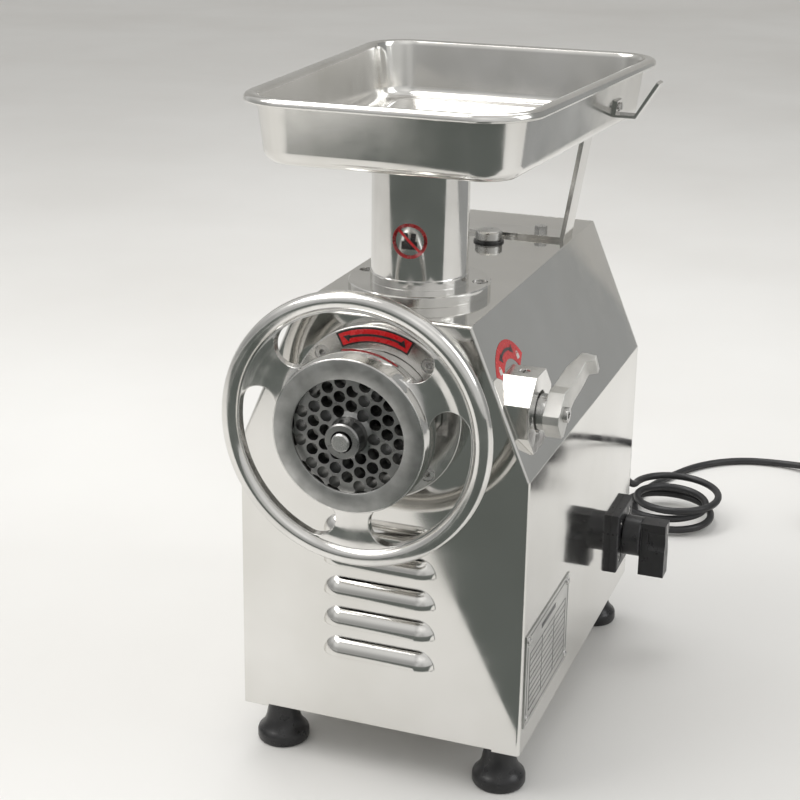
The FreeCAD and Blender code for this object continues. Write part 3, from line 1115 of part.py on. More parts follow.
# ================================================================ tray
def tray_outline(inset, z):
    """Trapezium with round corners, wider at the back."""
    y0, y1 = TRAY_FRONT_Y + inset, TRAY_BACK_Y - inset
    pull = inset * math.sqrt(1 + TRAY_SLOPE ** 2)

    def half(y):
        return TRAY_FRONT_HALF + TRAY_SLOPE * (y - TRAY_FRONT_Y) - pull

    return tray_wire(V(half(y0), y0, z), V(half(y1), y1, z), TRAY_CORNER_R - inset)


def tray_wire(f, b, r):
    """Closed wire through the right-hand corners f and b and their mirror images, rounded to r."""
    along = V(TRAY_SLOPE, 1, 0).normalize()
    front_cut = r * math.tan((math.pi / 2 - math.atan(TRAY_SLOPE)) / 2)
    back_cut = r * math.tan((math.pi / 2 + math.atan(TRAY_SLOPE)) / 2)
    a1, a2 = f - X_AXIS * front_cut, f + along * front_cut
    b1, b2 = b - along * back_cut, b - X_AXIS * back_cut
    fc, bc = a1 + Y_AXIS * r, b2 - Y_AXIS * r
    fm = fc + (f - fc).normalize() * r
    bm = bc + (b - bc).normalize() * r

    def flip(p):
        return V(-p.x, p.y, p.z)

    edges = [Part.LineSegment(flip(a1), a1).toShape(), Part.Arc(a1, fm, a2).toShape(),
             Part.LineSegment(a2, b1).toShape(), Part.Arc(b1, bm, b2).toShape(),
             Part.LineSegment(b2, flip(b2)).toShape(), Part.Arc(flip(b2), flip(bm), flip(b1)).toShape(),
             Part.LineSegment(flip(b1), flip(a2)).toShape(), Part.Arc(flip(a2), flip(fm), flip(a1)).toShape()]
    return Part.Wire(edges)


def tray_tub(extra, lift):
    """Tapered tub, drawn in by extra and lifted off the floor."""
    floor = TRAY_FLOOR_Z + lift
    low = tray_outline(TRAY_RIM_W + TRAY_WALL_TAPER + extra + TRAY_FLOOR_R / 2, floor)
    knee = tray_outline(TRAY_RIM_W + TRAY_WALL_TAPER + extra, floor + TRAY_FLOOR_R)
    high = tray_outline(TRAY_RIM_W + extra, TRAY_RIM_Z)
    lower = Part.makeLoft([low, knee], True, True)
    upper = Part.makeLoft([knee, high], True, True)
    return fused([lower, upper])


def flat_plate(wire, thickness):
    return Part.Face(wire).extrude(Z_AXIS * thickness)


def tray():
    t = TRAY_SHEET
    rim = flat_plate(tray_outline(0, TRAY_RIM_Z - t), t)
    skirt = flat_plate(tray_outline(0, TRAY_RIM_Z - TRAY_BEAD_H), TRAY_BEAD_H)
    skirt = skirt.cut(flat_plate(tray_outline(t, TRAY_RIM_Z - TRAY_BEAD_H - 1), TRAY_BEAD_H + 1 - t))
    outer = fused([tray_tub(0, 0), rim, skirt])
    mouth = flat_plate(tray_outline(TRAY_RIM_W + t, TRAY_RIM_Z - 0.01), 5)
    spigot_r = TUBE_R - TUBE_WALL - TRAY_SPIGOT_GAP
    base = V(0, TUBE_Y, TRAY_FLOOR_Z)
    spigot = rod(spigot_r, base - Z_AXIS * TRAY_SPIGOT_LEN, base + Z_AXIS * t)
    solid = fused([outer.cut(tray_tub(t, t)).cut(mouth), spigot])
    bore = rod(spigot_r - t, base - Z_AXIS * 50, base + Z_AXIS * 50)
    rivets = [hook_rivet_bore(place) for place in hook_rivet_places()]
    return solid.cut(Part.makeCompound([bore] + rivets))


def tray_wall_x(y, z):
    """Outer surface of the tray's right wall."""
    share = (TRAY_RIM_Z - z) / (TRAY_DEPTH - TRAY_FLOOR_R)
    inset = (TRAY_RIM_W + TRAY_WALL_TAPER * share) * math.sqrt(1 + TRAY_SLOPE ** 2)
    return TRAY_FRONT_HALF + TRAY_SLOPE * (y - TRAY_FRONT_Y) - inset


def hook_pad_x(z):
    """Inner face of the hook's pad, which lies on the tray's right wall."""
    return tray_wall_x(HOOK_Y + HOOK_W / 2, z)


def hook_rivet_places():
    z = HOOK_Z + HOOK_PAD_H - 5
    return [V(hook_pad_x(z), HOOK_Y + side * HOOK_W / 4, z) for side in (-1, 1)]


def hook_rivet_bore(place):
    return rod(HOOK_RIVET_R, place - X_AXIS * 5, place + X_AXIS * (HOOK_T + 4))


def tray_hook():
    """Strip hook riveted to the tray's right wall: pad, ledge and upturned arm."""
    y0 = HOOK_Y - HOOK_W / 2
    t = HOOK_T
    pad_z = HOOK_Z + HOOK_PAD_H
    foot_x, top_x = hook_pad_x(HOOK_Z), hook_pad_x(pad_z)
    end_x = foot_x + HOOK_REACH
    arm = HOOK_RISE / math.tan(math.radians(HOOK_LEAN))
    outline = [V(foot_x, y0, HOOK_Z), V(end_x, y0, HOOK_Z), V(end_x + arm, y0, HOOK_Z + HOOK_RISE),
               V(end_x + arm - t * 1.1, y0, HOOK_Z + HOOK_RISE + t * 0.7), V(end_x - t * 0.6, y0, HOOK_Z + t),
               V(foot_x + t + 0.2, y0, HOOK_Z + t), V(top_x + t, y0, pad_z), V(top_x, y0, pad_z)]
    strip = prism(outline, Y_AXIS * HOOK_W)
    return strip.cut(Part.makeCompound([hook_rivet_bore(place) for place in hook_rivet_places()]))


def hook_rivets():
    rivets = []
    for place in hook_rivet_places():
        face = place + X_AXIS * (HOOK_T + 0.5)
        shank = rod(HOOK_RIVET_R, place - X_AXIS * 3, face + X_AXIS * 0.5)
        rivets.append(fused([shank, rod(HOOK_RIVET_HEAD_R, face, face + X_AXIS * 1.2)]))
    return rivets


# ================================================================ cord
def cable_gland():
    """Gland in the rear panel: nut inside, hexagon and dome outside."""
    corner = GLAND_R + 1.5
    outside = hexagon_bolt(V(GLAND_X, HOUSING_D, GLAND_Z), Y_AXIS, GLAND_R - 2.1, 12, 2 * GLAND_R, GLAND_OUT)
    nut = rod_y(corner, SHELL_D - 5, SHELL_D, GLAND_X, GLAND_Z)
    bore = rod_y(RELIEF_R0 - 0.8, SHELL_D - 20, HOUSING_D + 20, GLAND_X, GLAND_Z)
    return fused([outside, nut]).cut(bore)


def strain_relief():
    """Tapered sleeve from the gland's mouth along the first stretch of the cord."""
    start = V(GLAND_X, HOUSING_D + GLAND_OUT, GLAND_Z)
    return turned([(0, 0), (RELIEF_R0, 0), (RELIEF_R1, RELIEF_LEN), (0, RELIEF_LEN)], start, Y_AXIS)


def lead_route():
    """Cord from the strain relief over to the loose bundle behind the machine."""
    start = V(GLAND_X, HOUSING_D + GLAND_OUT + RELIEF_LEN, GLAND_Z)
    return [start, start + V(0, 34, 0), V(60, 436, 99), V(60.5, 473, 76), V(62.5, 504, 49), V(65, 529, 22)]


def run_route():
    """Cord on the table from the bundle to the put-away coil."""
    z = CORD_R + TABLE_GAP
    return [V(62, 556, z), V(66, 592, z), V(82, 636, z), V(106, 682, z), V(144, 712, z), V(188, 718, z),
            V(226, 706, z), V(248, 682, z), V(254, 656, z)]


def rounded_path(points):
    """Straight runs joined by the largest tangent arcs that both runs allow."""
    edges = []
    last = points[0]
    radii = []
    for before, corner, after in zip(points, points[1:], points[2:]):
        into, out = corner - before, after - corner
        turn = into.getAngle(out)
        reach = 0.45 * min(into.Length, out.Length)
        radius = reach / math.tan(turn / 2)
        radii.append(radius)
        a = corner - V(into).normalize() * reach
        b = corner + V(out).normalize() * reach
        inward = (V(out).normalize() - V(into).normalize()).normalize()
        centre = corner + inward * (radius / math.cos(turn / 2))
        middle = centre + (corner - centre).normalize() * radius
        edges.append(Part.LineSegment(last, a).toShape())
        edges.append(Part.Arc(a, middle, b).toShape())
        last = b
    edges.append(Part.LineSegment(last, points[-1]).toShape())
    return Part.Wire(edges), radii


def cord_piece(name, points):
    path, radii = rounded_path(points)
    start = V(points[1] - points[0]).normalize()
    section = Part.Wire(Part.Circle(points[0], start, CORD_R).toShape())
    solid = path.makePipeShell([section], True, False)
    expected = math.pi * CORD_R ** 2 * path.Length
    print(name, "length", round(path.Length, 1), "radii", [round(r, 1) for r in radii],
          "volume share", round(solid.Volume / expected, 4))
    return solid


def cord_bundle():
    """Outer shape of the loose turns behind the machine."""
    inner, outer = BUNDLE_R - BUNDLE_TUBE, BUNDLE_R + BUNDLE_TUBE
    height = 2 * BUNDLE_TUBE
    return turned([(inner, TABLE_GAP), (outer, TABLE_GAP), (outer, height / 2), (BUNDLE_R + 4, height),
                   (BUNDLE_R - 4, height), (inner, height / 2)], BUNDLE_AT, Z_AXIS)


def cord_coil():
    """Outer shape of the put-away coil."""
    inner, outer = COIL_R - COIL_TUBE_W, COIL_R + COIL_TUBE_W
    return turned([(inner, TABLE_GAP), (outer, TABLE_GAP), (outer, COIL_H), (inner, COIL_H)], COIL_AT, Z_AXIS)


def mains_plug():
    """Plug lying beside the coil, its sleeve in line with the last turn's way out."""
    side = PLUG_SIDE - PLUG_SLEEVE_R
    sleeve_x, axis_z = COIL_AT.x - PLUG_SIDE, CORD_D + 2
    sleeve_end = COIL_AT.y - math.sqrt((COIL_R + COIL_TUBE_W) ** 2 - side ** 2)
    back = sleeve_end - PLUG_SLEEVE_L
    front = back - PLUG_L
    body = box(sleeve_x - PLUG_W / 2, sleeve_x + PLUG_W / 2, front, back, TABLE_GAP, PLUG_H)
    body = body.makeFillet(PLUG_EDGE, [e for e in body.Edges if e.BoundBox.YLength > PLUG_L - 1])
    sleeve = rod(PLUG_SLEEVE_R, V(sleeve_x, back - 1, axis_z), V(sleeve_x, sleeve_end + CONTACT, axis_z))
    pins = []
    for x in (sleeve_x - PLUG_PIN_X, sleeve_x + PLUG_PIN_X):
        pins.append(rod(PLUG_PIN_R, V(x, front + 1, PLUG_PIN_Z), V(x, front - PLUG_PIN_L, PLUG_PIN_Z)))
    return fused([body, sleeve] + pins)


# ================================================================ build
def main():
    os.makedirs("parts", exist_ok=True)
    save("housing_shell", housing_shell())
    save("rear_panel", rear_panel())
    save("rear_panel_screws", *panel_screws())
    save("base_plate", base_plate())
    for place, (x, y) in foot_places().items():
        save("foot_" + place, foot(x, y))
    save("foot_bolts", *foot_bolts())
    save("front_flange", front_flange())
    save("front_flange_screws", *flange_screws())
    save("grinder_barrel", grinder_barrel())
    save("feed_tube", feed_tube())
    save("feed_tube_bolts", *feed_tube_bolts())
    save("auger", auger())
    save("knife", knife())
    save("grinder_plate", grinder_plate())
    save("plate_key", key_box(0))
    save("ring_nut_handwheel", ring_nut_handwheel())
    save("thrust_washer", tube_y(WASHER_R, JOURNAL_R + HEAD_GAP, WASHER_Y, WASHER_Y + WASHER_T))
    save("output_shaft", output_shaft())
    save("output_gear", gear(STAGE2_GEAR, STAGE2_MODULE, STAGE2_W, STAGE2_Y0, AXIS_Z, SHAFT_R, -90))
    save("intermediate_gear", intermediate_gear())
    save("gearbox_case", gearbox_case())
    save("gearbox_cover", gearbox_cover())
    save("gearbox_screws", *gearbox_screws())
    save("gearbox_bearings", *gearbox_bearings())
    save("motor_housing", motor_housing())
    save("motor_stator", motor_stator())
    save("motor_end_cover", motor_end_cover())
    save("motor_bearings", *motor_bearings())
    save("motor_rotor", motor_rotor())
    save("motor_fan", motor_fan())
    save("motor_cradle", motor_cradle())
    save("capacitor", capacitor())
    save("terminal_block", terminal_block())
    save("oil_cap", oil_cap())
    save("oil_cap_washer", oil_cap_washer())
    save("tray_bracket", tray_bracket())
    save("bracket_bolt", bracket_bolt())
    save("clamp_block", clamp_block())
    save("clamp_block_screws", *block_screws())
    save("lock_bolt", lock_bolt())
    save("lock_lever", lock_lever())
    save("lock_lever_screw", lever_screw())
    save("switch_body", switch_body())
    save("switch_bezel", switch_bezel())
    save("switch_screws", *switch_screws())
    save("switch_knob", switch_knob())
    save("nameplate", nameplate())
    save("nameplate_rivets", *nameplate_rivets())
    save("tray", tray())
    save("tray_hook", tray_hook())
    save("tray_hook_rivets", *hook_rivets())
    save("cable_gland", cable_gland())
    save("strain_relief", strain_relief())
    save("cord_tube", cord_piece("lead", lead_route()), cord_piece("run", run_route()))
    save("cord_bundle", cord_bundle())
    save("cord_coil", cord_coil())
    save("mains_plug", mains_plug())
    print("origin in machine coordinates", ORIGIN, "gear centres", round(MID_Z, 3), round(MOTOR_Z, 3))


main()
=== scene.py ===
"""Countertop meat grinder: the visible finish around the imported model's frame."""

import logging
import math
from dataclasses import dataclass
from enum import Enum
from typing import ClassVar, Iterable, Sequence

import bmesh
import bpy
from mathutils import Matrix, Vector


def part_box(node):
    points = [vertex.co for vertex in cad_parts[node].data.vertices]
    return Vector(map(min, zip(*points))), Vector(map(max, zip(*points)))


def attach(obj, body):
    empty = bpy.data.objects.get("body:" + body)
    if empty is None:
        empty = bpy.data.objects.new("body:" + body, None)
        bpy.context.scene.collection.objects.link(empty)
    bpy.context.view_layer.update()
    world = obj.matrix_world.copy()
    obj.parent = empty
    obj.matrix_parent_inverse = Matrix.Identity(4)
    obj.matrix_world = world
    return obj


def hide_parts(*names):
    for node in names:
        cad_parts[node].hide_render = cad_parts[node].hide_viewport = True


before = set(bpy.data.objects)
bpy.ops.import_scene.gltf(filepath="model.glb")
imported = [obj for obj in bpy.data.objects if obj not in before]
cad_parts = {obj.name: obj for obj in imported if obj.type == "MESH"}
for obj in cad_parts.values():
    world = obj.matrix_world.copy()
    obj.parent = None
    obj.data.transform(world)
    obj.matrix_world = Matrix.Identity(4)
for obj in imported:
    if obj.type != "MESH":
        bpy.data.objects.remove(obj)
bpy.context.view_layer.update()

LOG = logging.getLogger("meat_grinder")
SHARP_ANGLE = math.radians(32)
Colour = tuple[float, float, float]
Triple = tuple[float, float, float]
Pair = tuple[float, float]


class Axis(Enum):
    """Axis that a turned shape goes round."""

    X = Vector((1, 0, 0))
    Y = Vector((0, 1, 0))
    Z = Vector((0, 0, 1))


class Body(Enum):
    """Bodies of the frame that pieces ride on."""

    MACHINE = "machine"
    RING_NUT = "ring_nut"
    KNOB = "switch_knob"
    OIL_CAP = "oil_cap"
    TRAY = "tray"


class Slot(Enum):
    """Material slots of the record."""

    POLISHED = "polished_stainless"
    CAST = "cast_aluminium"
    SCREW = "fastener_steel"
    RUBBER = "rubber_black"
    BLACK = "plastic_black"
    LABEL = "label_metal"
    CORD = "cord_black"


# ---------------------------------------------------------------- finishes
class Graph:
    """Node graph of one material, ending in its Principled shader."""

    def __init__(self, name: str) -> None:
        """Start an empty graph.

        Args:
            name: name of its material.
        """
        self.material = bpy.data.materials.new(name)
        self.material.use_nodes = True
        self.nodes = self.material.node_tree.nodes
        self.links = self.material.node_tree.links
        self.shader = self.nodes["Principled BSDF"]
        self.place = self.nodes.new("ShaderNodeTexCoord").outputs["Object"]

    def noise(self, scale: Triple, detail: float) -> bpy.types.NodeSocket:
        """Noise that runs at its own rate along each axis.

        Args:
            scale: features per metre along x, y and z.
            detail: octaves of finer noise.

        Returns:
            The noise value's socket, around 0.5.
        """
        stretch = self.nodes.new("ShaderNodeMapping")
        stretch.inputs["Scale"].default_value = scale
        self.links.new(self.place, stretch.inputs["Vector"])
        noise = self.nodes.new("ShaderNodeTexNoise")
        noise.inputs["Scale"].default_value = 1.0
        noise.inputs["Detail"].default_value = detail
        self.links.new(stretch.outputs["Vector"], noise.inputs["Vector"])
        return noise.outputs["Fac"]

    def spread(self, value: bpy.types.NodeSocket, low: float, high: float) -> bpy.types.NodeSocket:
        """Map the middle of a noise value onto a range.

        Args:
            value: noise socket.
            low: result where the noise is low.
            high: result where the noise is high.

        Returns:
            The mapped value's socket.
        """
        ranged = self.nodes.new("ShaderNodeMapRange")
        ranged.inputs["From Min"].default_value = 0.32
        ranged.inputs["From Max"].default_value = 0.68
        ranged.inputs["To Min"].default_value = low
        ranged.inputs["To Max"].default_value = high
        self.links.new(value, ranged.inputs["Value"])
        return ranged.outputs["Result"]

    def tones(self, value: bpy.types.NodeSocket, dark: Colour, light: Colour) -> bpy.types.NodeSocket:
        """Colour between two tones.

        Args:
            value: noise socket that chooses between the tones.
            dark: colour where the noise is low.
            light: colour where the noise is high.

        Returns:
            The colour's socket.
        """
        mix = self.nodes.new("ShaderNodeMix")
        mix.data_type = "RGBA"
        mix.inputs["A"].default_value = (*dark, 1.0)
        mix.inputs["B"].default_value = (*light, 1.0)
        self.links.new(self.spread(value, 0.0, 1.0), mix.inputs["Factor"])
        return mix.outputs["Result"]

    def bump(self, height: bpy.types.NodeSocket, depth: float,
             under: bpy.types.NodeSocket) -> bpy.types.NodeSocket:
        """Raise a height pattern over the normal that lies under it.

        Args:
            height: height socket.
            depth: height of the pattern in metres.
            under: normal socket the pattern is added to.

        Returns:
            The new normal's socket.
        """
        bump = self.nodes.new("ShaderNodeBump")
        bump.inputs["Distance"].default_value = depth
        self.links.new(height, bump.inputs["Height"])
        self.links.new(under, bump.inputs["Normal"])
        return bump.outputs["Normal"]

    def rounded_edges(self, radius: float) -> bpy.types.NodeSocket:
        """Normal that rounds sharp edges.

        Args:
            radius: edge radius in metres.

        Returns:
            The normal's socket.
        """
        edge = self.nodes.new("ShaderNodeBevel")
        edge.samples = 4
        edge.inputs["Radius"].default_value = radius
        return edge.outputs["Normal"]


@dataclass(frozen=True)
class Finish:
    """One surface finish: two tones, its gloss and its fine relief."""

    name: str
    dark: Colour
    light: Colour
    metallic: float
    smooth: float
    rough: float
    mottle: float
    grain: Triple
    grain_depth: float
    wave: float = 6.0
    wave_depth: float = 0.0
    edge: float = 0.0005
    coat: float = 0.0
    made: ClassVar[dict] = {}

    def material(self) -> bpy.types.Material:
        """The finish as a material, built on its first use.

        Returns:
            The material, the same one each time.
        """
        if self.name not in self.made:
            self.made[self.name] = self.build()
        return self.made[self.name]

    def build(self) -> bpy.types.Material:
        """Build the node graph of the finish.

        Returns:
            The new material.
        """
        graph = Graph(self.name)
        patches = graph.noise((self.mottle,) * 3, 4.0)
        gloss = graph.noise((self.mottle * 2.7,) * 3, 5.0)
        fine = graph.noise(self.grain, 3.0)
        shader = graph.shader
        shader.inputs["Metallic"].default_value = self.metallic
        shader.inputs["Coat Weight"].default_value = self.coat
        graph.links.new(graph.tones(patches, self.dark, self.light), shader.inputs["Base Color"])
        graph.links.new(graph.spread(gloss, self.smooth, self.rough), shader.inputs["Roughness"])
        normal = graph.rounded_edges(self.edge)
        if self.wave_depth > 0:
            normal = graph.bump(graph.noise((self.wave,) * 3, 1.0), self.wave_depth, normal)
        normal = graph.bump(fine, self.grain_depth, normal)
        graph.links.new(normal, shader.inputs["Normal"])
        return graph.material


POLISHED = Finish(
    name="polished_sheet",
    dark=(0.70, 0.69, 0.66), light=(0.80, 0.79, 0.77), metallic=1.0,
    smooth=0.045, rough=0.11, mottle=8.0,
    grain=(60.0, 60.0, 900.0), grain_depth=1.2e-6,
    wave=7.0, wave_depth=3.5e-4,
    edge=0.0012,
)
TUBE_STEEL = Finish(
    name="polished_tube",
    dark=(0.66, 0.65, 0.63), light=(0.78, 0.77, 0.75), metallic=1.0,
    smooth=0.07, rough=0.15, mottle=20.0,
    grain=(300.0, 300.0, 2400.0), grain_depth=1.5e-6,
    wave=12.0, wave_depth=6.0e-5,
    edge=0.0007,
)
TRAY_STEEL = Finish(
    name="tray_sheet",
    dark=(0.64, 0.63, 0.60), light=(0.77, 0.76, 0.74), metallic=1.0,
    smooth=0.10, rough=0.20, mottle=12.0,
    grain=(2200.0, 90.0, 300.0), grain_depth=1.5e-6,
    wave=9.0, wave_depth=1.6e-4,
    edge=0.0006,
)
MACHINED = Finish(
    name="machined_steel",
    dark=(0.50, 0.50, 0.49), light=(0.66, 0.65, 0.63), metallic=1.0,
    smooth=0.22, rough=0.34, mottle=40.0,
    grain=(900.0, 900.0, 900.0), grain_depth=3.0e-6,
    edge=0.0004,
)
PLATE_STEEL = Finish(
    name="grinding_plate_steel",
    dark=(0.24, 0.24, 0.24), light=(0.36, 0.36, 0.35), metallic=1.0,
    smooth=0.26, rough=0.40, mottle=60.0,
    grain=(1500.0, 1500.0, 1500.0), grain_depth=3.0e-6,
    edge=0.0003,
)
WHEEL_CAST = Finish(
    name="polished_casting",
    dark=(0.68, 0.67, 0.65), light=(0.84, 0.83, 0.81), metallic=1.0,
    smooth=0.08, rough=0.20, mottle=26.0,
    grain=(500.0, 500.0, 500.0), grain_depth=4.0e-6,
    wave=30.0, wave_depth=5.0e-5,
    edge=0.0010,
)
NUT_FACE = Finish(
    name="ring_nut_face",
    dark=(0.34, 0.34, 0.33), light=(0.50, 0.50, 0.49), metallic=1.0,
    smooth=0.34, rough=0.50, mottle=70.0,
    grain=(1100.0, 1100.0, 1100.0), grain_depth=7.0e-6,
    edge=0.0006,
)
FLANGE_CAST = Finish(
    name="polished_flange",
    dark=(0.60, 0.59, 0.57), light=(0.74, 0.73, 0.71), metallic=1.0,
    smooth=0.12, rough=0.24, mottle=30.0,
    grain=(700.0, 700.0, 700.0), grain_depth=4.0e-6,
    edge=0.0008,
)
LEVER_CAST = Finish(
    name="plain_casting",
    dark=(0.56, 0.56, 0.54), light=(0.72, 0.71, 0.69), metallic=0.9,
    smooth=0.30, rough=0.46, mottle=50.0,
    grain=(900.0, 900.0, 900.0), grain_depth=1.2e-5,
    wave=40.0, wave_depth=8.0e-5,
    edge=0.0010,
)
FASTENER = Finish(
    name="screw_steel",
    dark=(0.44, 0.44, 0.43), light=(0.62, 0.61, 0.60), metallic=1.0,
    smooth=0.20, rough=0.32, mottle=90.0,
    grain=(1400.0, 1400.0, 1400.0), grain_depth=3.0e-6,
    edge=0.0003,
)
TOOL = Finish(
    name="tool_steel",
    dark=(0.30, 0.30, 0.31), light=(0.46, 0.46, 0.46), metallic=1.0,
    smooth=0.25, rough=0.38, mottle=60.0,
    grain=(1200.0, 1200.0, 1200.0), grain_depth=4.0e-6,
)
GEAR = Finish(
    name="oiled_gear_steel",
    dark=(0.26, 0.25, 0.23), light=(0.42, 0.41, 0.38), metallic=1.0,
    smooth=0.18, rough=0.36, mottle=50.0,
    grain=(900.0, 900.0, 900.0), grain_depth=4.0e-6,
)
IRON = Finish(
    name="gearbox_casting",
    dark=(0.30, 0.31, 0.32), light=(0.42, 0.43, 0.44), metallic=0.7,
    smooth=0.45, rough=0.65, mottle=30.0,
    grain=(700.0, 700.0, 700.0), grain_depth=3.0e-5,
    wave=60.0, wave_depth=1.0e-4,
    edge=0.0012,
)
PAINT = Finish(
    name="motor_enamel",
    dark=(0.10, 0.14, 0.17), light=(0.15, 0.19, 0.22), metallic=0.0,
    smooth=0.32, rough=0.48, mottle=20.0,
    grain=(500.0, 500.0, 500.0), grain_depth=2.0e-5,
    wave=40.0, wave_depth=5.0e-5,
    edge=0.0010,
)
LAMINATION = Finish(
    name="stator_laminations",
    dark=(0.16, 0.15, 0.14), light=(0.30, 0.28, 0.26), metallic=0.8,
    smooth=0.40, rough=0.60, mottle=40.0,
    grain=(60.0, 2000.0, 60.0), grain_depth=3.0e-5,
)
RUBBER = Finish(
    name="foot_rubber",
    dark=(0.008, 0.008, 0.009), light=(0.020, 0.020, 0.021), metallic=0.0,
    smooth=0.24, rough=0.40, mottle=60.0,
    grain=(900.0, 900.0, 900.0), grain_depth=1.2e-5,
    edge=0.0006,
)
BLACK = Finish(
    name="moulded_black",
    dark=(0.010, 0.010, 0.011), light=(0.022, 0.022, 0.024), metallic=0.0,
    smooth=0.26, rough=0.42, mottle=50.0,
    grain=(1300.0, 1300.0, 1300.0), grain_depth=9.0e-6,
    edge=0.0008,
)
GREY = Finish(
    name="moulded_grey",
    dark=(0.30, 0.30, 0.31), light=(0.40, 0.40, 0.41), metallic=0.0,
    smooth=0.40, rough=0.55, mottle=50.0,
    grain=(1300.0, 1300.0, 1300.0), grain_depth=9.0e-6,
)
NYLON = Finish(
    name="white_nylon",
    dark=(0.62, 0.61, 0.58), light=(0.76, 0.75, 0.72), metallic=0.0,
    smooth=0.38, rough=0.52, mottle=40.0,
    grain=(900.0, 900.0, 900.0), grain_depth=8.0e-6,
)
LABEL = Finish(
    name="label_plate",
    dark=(0.52, 0.52, 0.51), light=(0.66, 0.66, 0.64), metallic=1.0,
    smooth=0.26, rough=0.38, mottle=30.0,
    grain=(120.0, 60.0, 2600.0), grain_depth=4.0e-6,
    edge=0.0003,
)
LABEL_INK = Finish(
    name="label_ink",
    dark=(0.09, 0.09, 0.09), light=(0.17, 0.17, 0.17), metallic=0.2,
    smooth=0.42, rough=0.58, mottle=80.0,
    grain=(1500.0, 1500.0, 1500.0), grain_depth=3.0e-6,
)
RED_FOIL = Finish(
    name="red_foil",
    dark=(0.52, 0.008, 0.012), light=(0.72, 0.016, 0.020), metallic=0.0,
    smooth=0.22, rough=0.34, mottle=60.0,
    grain=(800.0, 800.0, 800.0), grain_depth=5.0e-6,
    coat=0.4,
)
DARK_FOIL = Finish(
    name="dark_foil",
    dark=(0.014, 0.012, 0.012), light=(0.035, 0.030, 0.030), metallic=0.0,
    smooth=0.24, rough=0.36, mottle=60.0,
    grain=(800.0, 800.0, 800.0), grain_depth=5.0e-6,
    coat=0.4,
)
PALE_FOIL = Finish(
    name="pale_foil",
    dark=(0.62, 0.60, 0.58), light=(0.78, 0.76, 0.74), metallic=0.0,
    smooth=0.28, rough=0.40, mottle=60.0,
    grain=(800.0, 800.0, 800.0), grain_depth=5.0e-6,
)
SHEATH = Finish(
    name="cord_sheath",
    dark=(0.010, 0.010, 0.011), light=(0.024, 0.024, 0.026), metallic=0.0,
    smooth=0.34, rough=0.50, mottle=45.0,
    grain=(700.0, 700.0, 700.0), grain_depth=1.5e-5,
)
FLOOR = Finish(
    name="studio_floor",
    dark=(0.70, 0.69, 0.67), light=(0.76, 0.755, 0.74), metallic=0.0,
    smooth=0.40, rough=0.52, mottle=1.5,
    grain=(240.0, 240.0, 240.0), grain_depth=1.0e-5,
)


# ---------------------------------------------------------------- making pieces
def turned(profile: Sequence[Pair], centre: Vector, axis: Axis, steps: int,
           closed: bool) -> bmesh.types.BMesh:
    """Turn a profile round an axis.

    Args:
        profile: (radius, distance along the axis) in metres, in order.
        centre: point on the axis that the distances start from.
        axis: axis of the turn.
        steps: number of sides round the axis.
        closed: whether the profile's last point joins its first.

    Returns:
        The turned shape with outward normals.
    """
    bm = bmesh.new()
    side = Axis.Z.value if axis is Axis.X else Axis.X.value
    verts = [bm.verts.new(centre + side * radius + axis.value * along) for radius, along in profile]
    edges = [bm.edges.new(pair) for pair in zip(verts, verts[1:])]
    if closed:
        edges.append(bm.edges.new((verts[-1], verts[0])))
    bmesh.ops.spin(bm, geom=verts + edges, cent=centre, axis=axis.value, angle=math.tau,
                   steps=steps, use_merge=True, use_duplicate=False)
    bmesh.ops.remove_doubles(bm, verts=bm.verts, dist=1e-6)
    bmesh.ops.recalc_face_normals(bm, faces=bm.faces)
    return bm


def block(low: Vector, high: Vector, edge: float) -> bmesh.types.BMesh:
    """Box between two corners with rounded edges.

    Args:
        low: lowest corner.
        high: highest corner.
        edge: radius of the edges.

    Returns:
        The rounded box.
    """
    bm = bmesh.new()
    place = Matrix.Translation((low + high) / 2) @ Matrix.Diagonal((*(high - low), 1.0))
    bmesh.ops.create_cube(bm, size=1.0, matrix=place)
    bmesh.ops.bevel(bm, geom=bm.edges[:], offset=edge, offset_type="OFFSET", segments=3, profile=0.5,
                    affect="EDGES", material=-1, clamp_overlap=True)
    bmesh.ops.recalc_face_normals(bm, faces=bm.faces)
    return bm


def joined(parts: Iterable[bmesh.types.BMesh]) -> bmesh.types.BMesh:
    """Put several shapes into one mesh and free them.

    Args:
        parts: shapes to join.

    Returns:
        One shape that holds them all.
    """
    whole = bmesh.new()
    for part in parts:
        mesh = bpy.data.meshes.new("part")
        part.to_mesh(mesh)
        part.free()
        whole.from_mesh(mesh)
        bpy.data.meshes.remove(mesh)
    return whole


def plain_object(name: str, bm: bmesh.types.BMesh) -> bpy.types.Object:
    """Turn a bmesh into a smooth-shaded object with its sharp edges kept sharp.

    Args:
        name: object's name.
        bm: shape, which is freed.

    Returns:
        The linked object at the origin.
    """
    for face in bm.faces:
        face.smooth = True
    for edge in bm.edges:
        edge.smooth = len(edge.link_faces) != 2 or edge.calc_face_angle() < SHARP_ANGLE
    mesh = bpy.data.meshes.new(name)
    bm.to_mesh(mesh)
    bm.free()
    obj = bpy.data.objects.new(name, mesh)
    bpy.context.scene.collection.objects.link(obj)
    return obj


def settled(obj: bpy.types.Object) -> bpy.types.Object:
    """Apply an object's modifiers to its mesh.

    Args:
        obj: object whose modifiers are applied.

    Returns:
        The same object with a plain mesh.
    """
    bpy.context.view_layer.update()
    evaluated = obj.evaluated_get(bpy.context.evaluated_depsgraph_get())
    mesh = bpy.data.meshes.new_from_object(evaluated)
    obj.modifiers.clear()
    obj.data = mesh
    bm = bmesh.new()
    bm.from_mesh(mesh)
    for face in bm.faces:
        face.smooth = True
    for edge in bm.edges:
        edge.smooth = len(edge.link_faces) != 2 or edge.calc_face_angle() < SHARP_ANGLE
    bm.to_mesh(mesh)
    bm.free()
    return obj


